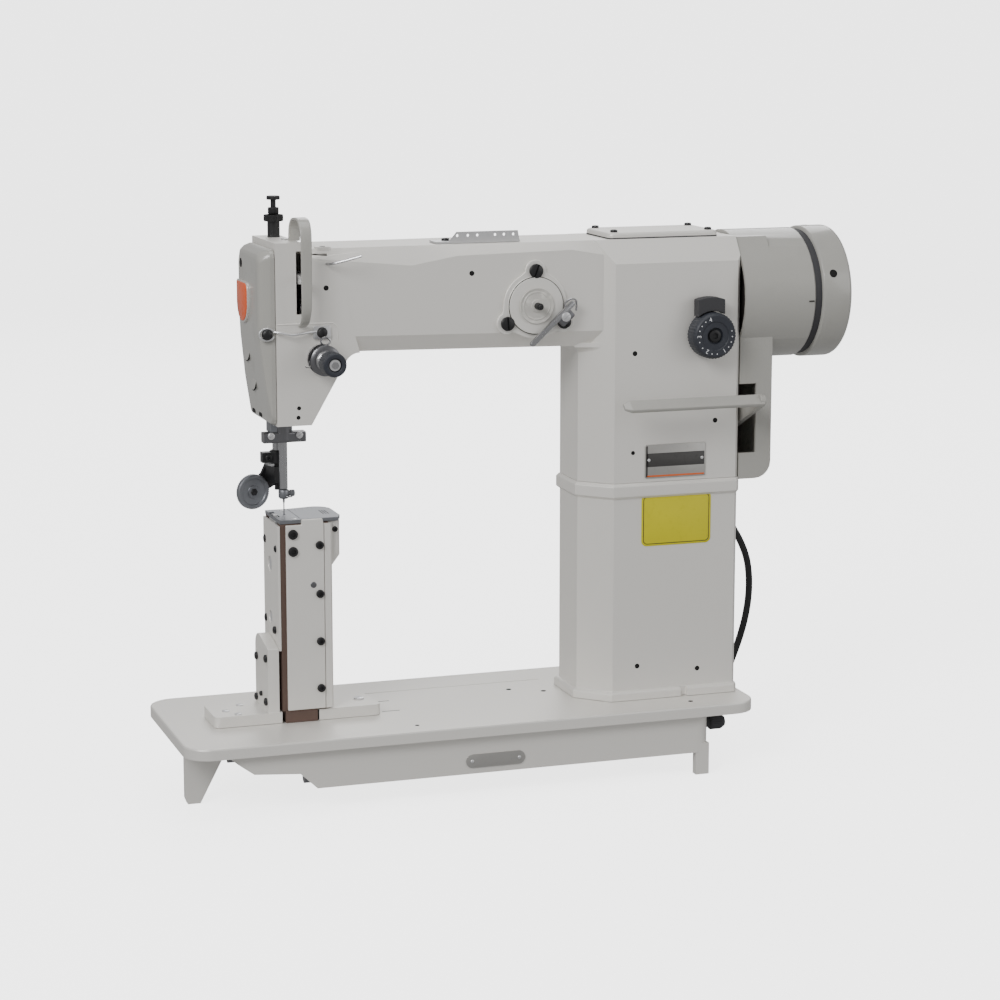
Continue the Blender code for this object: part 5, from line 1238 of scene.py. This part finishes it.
@dataclass
class Post:
    """The post: its covers, screws, top plates and feed wheel."""

    shop: Workshop
    front_screws: tuple[tuple[float, float, float], ...] = (
        (-151.6, 166.0, 4.3),
        (-151.6, 151.1, 4.3),
        (-128.2, 155.5, 3.6),
        (-128.2, 112.8, 3.6),
        (-128.2, 71.1, 3.6),
        (-128.2, 29.6, 3.6),
    )

    def build(self) -> None:
        """Dresses the post and adds its fittings."""
        shop = self.shop
        shop.dress(Finish.PRIMER, "post_frame")
        covers = ("post_front_cover", "post_side_cover", "post_rear_cover")
        for node in covers:
            shop.eased(node, 0.5, Finish.ENAMEL, 30)
        for node in ("post_foot_left", "post_foot_right"):
            shop.eased(node, 0.7, Finish.ENAMEL, 30, False)
        for node in ("needle_plate", "slide_plate"):
            shop.eased(node, 0.35, Finish.DARK_STEEL, 30)
        shop.dress(Finish.STEEL, "feed_wheel", "rotary_hook", "bobbin_case", "hook_shaft")
        front = shop.side("post_front_cover")[0].y
        for i, (x, z, radius) in enumerate(self.front_screws):
            shop.socket_screw(f"post_screw_{i}", (x, front, z), Facing.FRONT, radius)
        shop.dome("post_plug", (-133.9, front, 121.0), Facing.FRONT, 2.7, Finish.GUIDE_STEEL, 0.6)
        self._side_fittings()
        self._foot_fittings()
        low, high = shop.side("needle_plate")
        for i, y in enumerate((low.y + 5, high.y - 5)):
            place = (high.x - 5.5, y, high.z - 0.5)
            shop.screw(
                f"needle_plate_screw_{i}", place, Facing.UP, 2.6, finish=Finish.STEEL, height=0.8
            )
        low, high = shop.side("slide_plate")
        for i in range(3):
            groove = [(high.x - 8 - 2.2 * i, -8, high.z), (high.x - 8 - 2.2 * i, 8, high.z)]
            shop.put(f"slide_groove_{i}", wire(groove, 0.35, 8), Finish.OXIDE, "slide_plate_body")

    def _side_fittings(self) -> None:
        """Screws and plugs of the left and right covers."""
        shop = self.shop
        low, high = shop.side("post_side_cover")
        for i, (y, z, radius) in enumerate(((20, 154, 3.3), (-18, 152, 2.9), (20, 84, 3.3))):
            shop.socket_screw(f"side_screw_{i}", (high.x - 0.9, y, z), Facing.LEFT, radius)
        shop.socket_screw("side_screw_3", (low.x, -14, 80), Facing.LEFT, 3.3)
        for i, (y, z, radius) in enumerate(((3, 135, 6.5), (3, 88, 5.7))):
            place = (high.x - 0.6, y, z)
            shop.dome(f"side_plug_{i}", place, Facing.LEFT, radius, Finish.STEEL, 0.8)
        low, high = shop.side("post_rear_cover")
        for i, (y, z) in enumerate(((18, 92), (18, 30), (-18, 30))):
            shop.socket_screw(f"rear_screw_{i}", (high.x - 9.6, y, z), Facing.RIGHT, 2.6)
        shop.socket_screw("bulge_screw", (high.x - 5.2, -22.0, 167.0), Facing.FRONT, 2.4)

    def _foot_fittings(self) -> None:
        """Screws of the two feet, and a near-black strip of painted shadow in a low gap."""
        low, high = self.shop.side("post_foot_left")
        for i, (x, y) in enumerate(((low.x + 14, -8), (low.x + 30, 8), (low.x + 22, -21))):
            place = (x, y, low.z + 9.7)
            self.shop.screw(
                f"foot_screw_left_{i}", place, Facing.UP, 3.2, finish=Finish.STEEL, height=0.8
            )
        low, high = self.shop.side("post_foot_right")
        place = (high.x - 14, -4, high.z)
        self.shop.screw("foot_screw_right", place, Facing.UP, 4.6, finish=Finish.STEEL)
        left = self.shop.side("post_foot_left")[1].x - 12.2
        spots = ((-21, 57, 3.4), (-20, 18.6, 3.4), (13, 52, 3.4), (15, 15, 3.2), (-3, 22, 2.2))
        for i, (y, z, radius) in enumerate(spots):
            self.shop.socket_screw(f"gusset_screw_{i}", (left, y, z), Facing.LEFT, radius)
        # A near-black strip of painted shadow in a gap low on the post.
        shadow = plate(rounded(0.7, 4.5, 0.3), -0.8, -0.1, 0.05)
        at = Facing.FRONT.matrix((-130.2, -27.4, 5.2))
        self.shop.put("foot_gap_shadow", shadow, Finish.RECESS_SHADE, "machine", at)


@dataclass
class NeedleSide:
    """Needle bar, clamp and needle."""

    shop: Workshop

    def build(self) -> None:
        """Dresses the bars and adds the clamp's fittings."""
        shop = self.shop
        shop.dress(Finish.ROUND_STEEL, "needle_bar", "presser_bar", "presser_spring", "needle")
        shop.eased("needle_bar_guide", 0.5, Finish.GUIDE_STEEL, 35)
        x = shop.side("needle")[0].x + 1.05
        clamp_low = shop.side("needle_clamp")[0]
        profile = [(0, 3.3), (0.5, 4.0), (1.6, 4.6), (7.0, 4.6), (7.6, 4.3), (8.0, 3.8)]
        sleeve = turned(profile, 48)
        at = Matrix.Translation((x, 0, clamp_low.z))
        stem = [(2, 2.0), (5.2, 2.0), (5.3, 2.9), (9.0, 2.9), (9.5, 2.4)]
        thumb = knurled(stem, 16, 0.25)
        bmesh.ops.transform(thumb, matrix=Facing.RIGHT.matrix((0, 0, 4.5)), verts=thumb.verts)
        mesh = gathered(sleeve, thumb)
        shop.put("clamp", mesh, Finish.DARK_STEEL, "needle_bar_body", at, ("needle_clamp",))
        z = clamp_low.z + 2.0
        guide = [(x + 4, -1.0, z), (x + 6.0, -1.6, z), (x + 6.6, -3.2, z), (x + 5.4, -4.8, z)]
        guide += [(x + 3.0, -5.3, z), (x + 1.2, -4.4, z)]
        loop = wire(smooth_path(guide, 5), 0.5, 8)
        shop.put("clamp_guide", loop, Finish.ROUND_STEEL, "needle_bar_body")
        shop.dress(Finish.STEEL, "needle_bar_crank", "needle_bar_link")
        shop.eased("presser_lifter_lever", 0.8, Finish.DARK_STEEL, 30)
        high = shop.side("presser_lifter_lever")[1]
        place = (high.x - 8.5, high.y, high.z - 8.5)
        shop.screw("lifter_screw", place, Facing.BACK, 4.4, "lifter_body", Finish.STEEL)


@dataclass
class RollerFoot:
    """The roller presser, swung out to the left."""

    shop: Workshop

    def build(self) -> None:
        """Makes the roller and dresses its arm."""
        shop = self.shop
        shop.eased("roller_bracket", 0.6, Finish.OXIDE, 30)
        shop.eased("roller_arm", 0.6, Finish.OXIDE, 30)
        axle = Vector(next(j["axis"] for j in shop.frame["joints"] if j["name"] == "roller_spin"))
        low, high = shop.side("presser_roller")
        middle = (low + high) / 2
        radius = (high.z - low.z) / 2
        half = 2.5
        profile = [(-half, 2.6), (-half, 5.4), (-half + 0.9, 5.8), (-half + 0.9, radius - 4.2)]
        profile += [(-half, radius - 3.6), (-half, radius - 1.0), (-half + 0.5, radius - 0.2)]
        profile += [(-half + 1.0, radius), (half - 1.0, radius), (half - 0.5, radius - 0.2)]
        profile += [(half, radius - 1.0), (half, radius - 3.6), (half - 0.9, radius - 4.2)]
        profile += [(half - 0.9, 5.8), (half, 5.4), (half, 2.6)]
        spin = axle.to_track_quat("Z", "Y").to_matrix().to_4x4()
        at = Matrix.Translation(middle) @ spin
        ribs = []
        for height, reach in profile:
            loop = []
            for i in range(144):
                dip = 0.28 if i % 3 == 0 and reach > radius - 0.3 else 0.0
                turn = TURN * i / 144
                loop.append(((reach - dip) * math.cos(turn), (reach - dip) * math.sin(turn), height))
            ribs.append(loop)
        shop.put("roller", loft(ribs, True), Finish.DARK_STEEL, "roller_body", at, ("presser_roller",))
        cap = Matrix.Translation(middle + axle * 2.7) @ spin
        nut = [(0.0, 3.3), (0.3, 3.3), (0.5, 3.0), (0.55, 1.8), (0.4, 1.5)]
        shop.put("roller_nut", turned(nut, 6), Finish.OXIDE, "roller_arm_body", cap)
        low, high = shop.side("roller_bracket")
        place = (low.x + 5.0, low.y + 2.0, high.z - 6.0)
        shop.socket_screw("bracket_screw", place, Facing.FRONT, 3.0, "presser_body", Finish.OXIDE, 2.6)


@dataclass
class Drive:
    """The shafts, pulleys, belt and hidden pieces."""

    shop: Workshop
    pitch: float = 5.0

    def build(self) -> None:
        """Dresses the drive and makes the toothed belt."""
        shop = self.shop
        shop.dress(Finish.ROUND_STEEL, "main_shaft", "lower_shaft")
        shop.dress(Finish.STEEL, "upper_pulley", "lower_pulley")
        low, high = shop.side("timing_belt")
        outer = (high.y - low.y) / 2
        inner = outer - 2.0
        top, bottom = high.z - outer, low.z + outer
        run = top - bottom
        around = math.pi * inner
        teeth = int((2 * run + 2 * around) / self.pitch)
        loops: list[list[tuple[float, float, float]]] = [[], [], [], []]
        for i in range(teeth * 4):
            place = (2 * run + 2 * around) * i / (teeth * 4)
            depth = inner if i % 4 < 2 else inner + 0.8
            for loop, (x, reach) in zip(
                loops,
                ((low.x, outer), (high.x, outer), (high.x, depth), (low.x, depth)),
            ):
                y, z = self._belt_point(place, reach, top, bottom, run, around)
                loop.append((x, y, z))
        shop.put("toothed_belt", loft(loops, True), Finish.BELT, "machine", replaces=("timing_belt",))

    @staticmethod
    def _belt_point(
        place: float, reach: float, top: float, bottom: float, run: float, around: float
    ) -> Pair:
        """Where a distance along the belt's run lies, at a reach from its axis."""
        if place < run:
            return -reach, bottom + place
        if place < run + around:
            turn = math.pi - (place - run) / around * math.pi
            return reach * math.cos(turn), top + reach * math.sin(turn)
        if place < 2 * run + around:
            return reach, top - (place - run - around)
        turn = -(place - 2 * run - around) / around * math.pi
        return reach * math.cos(turn), bottom + reach * math.sin(turn)


@dataclass
class CableRun:
    """The motor's cable: loose stretch, neat coil and connector."""

    shop: Workshop
    radius: float = 3.2
    per_turn: int = 28
    coil_middle: float = 35.0
    route: tuple[tuple[float, float, float], ...] = (
        (268.0, 20.0, 169.7),
        (268.0, 20.3, 160.0),
        (272.0, 22.0, 147.0),
        (280.0, 25.0, 134.0),
        (289.0, 28.0, 120.0),
        (297.0, 32.0, 103.0),
        (301.0, 35.0, 84.0),
        (301.5, 37.0, 64.0),
        (299.0, 39.0, 43.0),
        (294.0, 42.0, 21.0),
        (287.0, 45.0, -1.0),
        (280.0, 49.0, -22.0),
        (274.5, 55.0, -40.0),
        (270.5, 64.0, -53.0),
        (268.5, 77.0, -60.0),
        (268.0, 92.0, -61.6),
        (268.0, 105.0, -61.6),
        (268.0, 117.0, -61.6),
    )

    def build(self) -> None:
        shop = self.shop
        gland_low, gland_high = shop.side("cable_gland")
        start = (self.route[0][0], self.route[0][1], gland_low.z - 0.3)
        path = smooth_path((start,) + self.route[1:], 4)[:-1] + self._coil_path()
        plug_low, plug_high = shop.side("cable_connector")
        path.append(Vector((plug_high.x + 0.2, path[-1].y, path[-1].z)))
        length = sum((b - a).length for a, b in zip(path, path[1:])) * MM
        mesh = wire(path, self.radius, 14)
        nodes = ("power_cable", "cable_coil")
        cable = shop.put("cable", mesh, Finish.JACKET, "machine", replaces=nodes, sharp=60)
        self._gland(gland_low, gland_high)
        plug = self._plug(plug_low, plug_high, path[-1].z)
        world = [tuple(p * MM + shop.origin) for p in path]
        LOG.info("cable length %.3f m", length)

    def _coil_path(self) -> list[Vector]:
        """The coil's turns: three in along the floor, then three out on top of them."""
        low, high = self.shop.side("cable_coil")
        middle = (low + high) / 2
        step = 2 * self.radius
        rings = [self.coil_middle + step * (1 - i) for i in range(3)]
        radii = rings + rings[::-1]
        heights = [low.z + self.radius] * 3 + [low.z + 3 * self.radius] * 3
        points = []
        blend = 0.22
        for k, (radius, height) in enumerate(zip(radii, heights)):
            last = k == len(radii) - 1
            after = k + 1 if not last else k
            turns = self.per_turn if not last else self.per_turn // 4
            for i in range(turns):
                share = i / self.per_turn
                ease = max(0.0, (share - 1 + blend) / blend)
                ease = ease * ease * (3 - 2 * ease)
                reach = radius + (radii[after] - radius) * ease
                z = height + (heights[after] - height) * ease
                turn = TURN * share
                points.append(
                    Vector((middle.x + reach * math.cos(turn), middle.y + reach * math.sin(turn), z))
                )
        reach = radii[-1]
        points.append(Vector((middle.x, middle.y + reach, heights[-1])))
        points.append(Vector((middle.x - 12, middle.y + reach, heights[-1])))
        return points

    def _gland(self, low: Vector, high: Vector) -> None:
        """The ribbed strain relief under the motor cover."""
        tall = high.z - low.z
        profile = [(0, self.radius + 0.9)]
        for i in range(6):
            z = 1.0 + i * (tall - 9.5) / 6
            wide = self.radius + 1.1 + 1.4 * i / 6
            profile += [(z, wide), (z + 1.6, wide + 0.1), (z + 1.7, wide - 0.6), (z + 2.3, wide - 0.6)]
        profile += [(tall - 7.2, 5.8), (tall - 7.0, 7.6), (tall - 6.6, 8.0)]
        profile += [(tall - 0.4, 8.0), (tall, 7.6)]
        at = Matrix.Translation(((low.x + high.x) / 2, (low.y + high.y) / 2, low.z))
        self.shop.put("gland", turned(profile, 40), Finish.BLACK, "machine", at, ("cable_gland",))

    def _plug(self, low: Vector, high: Vector, line: float) -> bpy.types.Object:
        """The connector: a ridged shell with a latch and a tapered nose."""
        middle_y = (low.y + high.y) / 2
        half_y, half_z = (high.y - low.y) / 2, (high.z - low.z) / 2
        loops = []
        stations = ((0, 0.90), (0.6, 0.97), (2, 1.0), (8, 1.0), (8.5, 0.93), (10, 0.93), (10.5, 1.0))
        stations += ((13, 1.0), (13.5, 0.93), (15, 0.93), (15.5, 1.0), (28, 1.0))
        stations += ((29.4, 0.95), (30, 0.84))
        middle_z = (low.z + high.z) / 2
        for place, size in stations:
            outline = rounded(half_y * size, half_z * size, 2.2 * size)
            loops.append([(low.x + place, middle_y + u, middle_z + v) for u, v in outline])
        nose = [(28.0, 5.4), (31.0, 5.4), (32.0, 4.9), (33.0, 5.1), (34.5, 4.7), (35.5, 4.9)]
        nose += [(37.0, 4.5), (38.0, 4.6), (high.x - low.x, 4.0)]
        taper = turned(nose, 32)
        at = Facing.RIGHT.matrix((low.x, middle_y, line))
        bmesh.ops.transform(taper, matrix=at, verts=taper.verts)
        mesh = gathered(loft(loops), taper)
        return self.shop.put("connector", mesh, Finish.BLACK, "machine", replaces=("cable_connector",))


# --------------------------------------------------------------------------- studio


@dataclass
class Studio:
    """Pale floor with its wall, soft lights and the camera. Sizes are in metres."""

    floor_radius: float = 3.6
    cove: float = 1.2
    wall_height: float = 4.2
    floor_drop: float = 0.0004
    sides: int = 96

    world_strength: float = 0.42
    floor_glow: float = 2.8
    lights: tuple[tuple[str, Colour, float, float], ...] = (
        ("key", (-2.1, -1.9, 2.1), 1.3, 70.0),
        ("fill", (2.2, -1.8, 1.1), 1.6, 14.0),
        ("back", (0.9, 2.4, 1.9), 1.8, 26.0),
        ("over", (0.0, -0.3, 2.8), 1.6, 17.0),
    )
    camera_place: Colour = (-0.76107, -2.24867, 0.68873)
    camera_turn: Colour = (79.3815, 0.0, -18.607)
    lens: float = 98.384

    def build(self) -> None:
        """Sets up the studio."""
        self._floor()
        for light in self.lights:
            self._light(*light)
        world = bpy.data.worlds.new("studio")
        world.use_nodes = True
        background = world.node_tree.nodes["Background"]
        background.inputs["Color"].default_value = (1.0, 1.0, 1.0, 1.0)
        background.inputs["Strength"].default_value = self.world_strength
        bpy.context.scene.world = world
        data = bpy.data.cameras.new("camera")
        data.lens = self.lens
        data.sensor_width = 36.0
        data.clip_end = 50.0
        camera = bpy.data.objects.new("camera", data)
        camera.location = self.camera_place
        camera.rotation_euler = [math.radians(a) for a in self.camera_turn]
        bpy.context.scene.collection.objects.link(camera)
        bpy.context.scene.camera = camera

    def _floor(self) -> None:
        """A pale floor that curves up into a round wall."""
        cove, wall = self.cove, self.floor_radius + self.cove
        rings = [(0.0, 0.02), (0.0, 1.2), (0.0, 2.4), (0.0, self.floor_radius)]
        for turn in sweep(9, 90, 10):
            rings.append((cove - cove * math.cos(turn), self.floor_radius + cove * math.sin(turn)))
        rings += [(2.6, wall), (self.wall_height, wall)]
        mesh = bmesh.new()
        rows = []
        for height, radius in rings:
            points = ring_points(radius, self.sides)
            rows.append([mesh.verts.new((u, v, height - self.floor_drop)) for u, v in points])
        for near, far in zip(rows, rows[1:]):
            for i in range(self.sides):
                mesh.faces.new((near[i], near[i - 1], far[i - 1], far[i]))
        mesh.faces.new(rows[0])
        data = bpy.data.meshes.new("floor")
        mesh.to_mesh(data)
        mesh.free()
        data.shade_smooth()
        floor = bpy.data.objects.new("floor", data)
        shader = Shader("floor_paper")
        grain = shader.noise(300.0, 3.0)
        shader.put(Base_Color=shader.mix(grain, (0.90, 0.90, 0.90, 1), (0.93, 0.93, 0.93, 1)))
        shader.put(Roughness=0.85, Emission_Color=(1.0, 1.0, 1.0, 1.0))
        shader.put(Emission_Strength=self.floor_glow)
        data.materials.append(shader.material)
        floor.visible_diffuse = False
        floor.visible_glossy = False
        bpy.context.scene.collection.objects.link(floor)

    @staticmethod
    def _light(name: str, place: Point, size: float, power: float) -> None:
        """A soft square light that looks at the machine."""
        data = bpy.data.lights.new(name, "AREA")
        data.shape = "SQUARE"
        data.size = size
        data.energy = power
        light = bpy.data.objects.new(name, data)
        light.location = place
        aim = Vector((0.0, 0.0, 0.25)) - Vector(place)
        light.rotation_euler = aim.to_track_quat("-Z", "Y").to_euler()
        bpy.context.scene.collection.objects.link(light)


def build_all(assemblies: Iterable[object]) -> None:
    """Builds each sub-assembly in turn."""
    for assembly in assemblies:
        LOG.info("building %s", type(assembly).__name__)
        assembly.build()


def corners(bounds: Sequence[Vector]) -> list[list[float]]:
    """A box's two corners as plain lists."""
    return [[round(c, 6) for c in corner] for corner in bounds]


def main() -> None:
    """Builds the machine's looks round its frame."""
    logging.basicConfig(level=logging.INFO, format="%(name)s: %(message)s")
    for thing in list(bpy.data.objects):
        bpy.data.objects.remove(thing)
    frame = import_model()
    Studio().build()
    shop = Workshop(frame)
    cable = CableRun(shop)
    front = (Bed, Column, Head, TensionUnit, Winder, Controls, Motor)
    groups = front + (Post, NeedleSide, RollerFoot, Drive)
    build_all([cable] + [group(shop) for group in groups])
    LOG.info("%d pieces", shop.count)


if __name__ == "__main__":
    main()
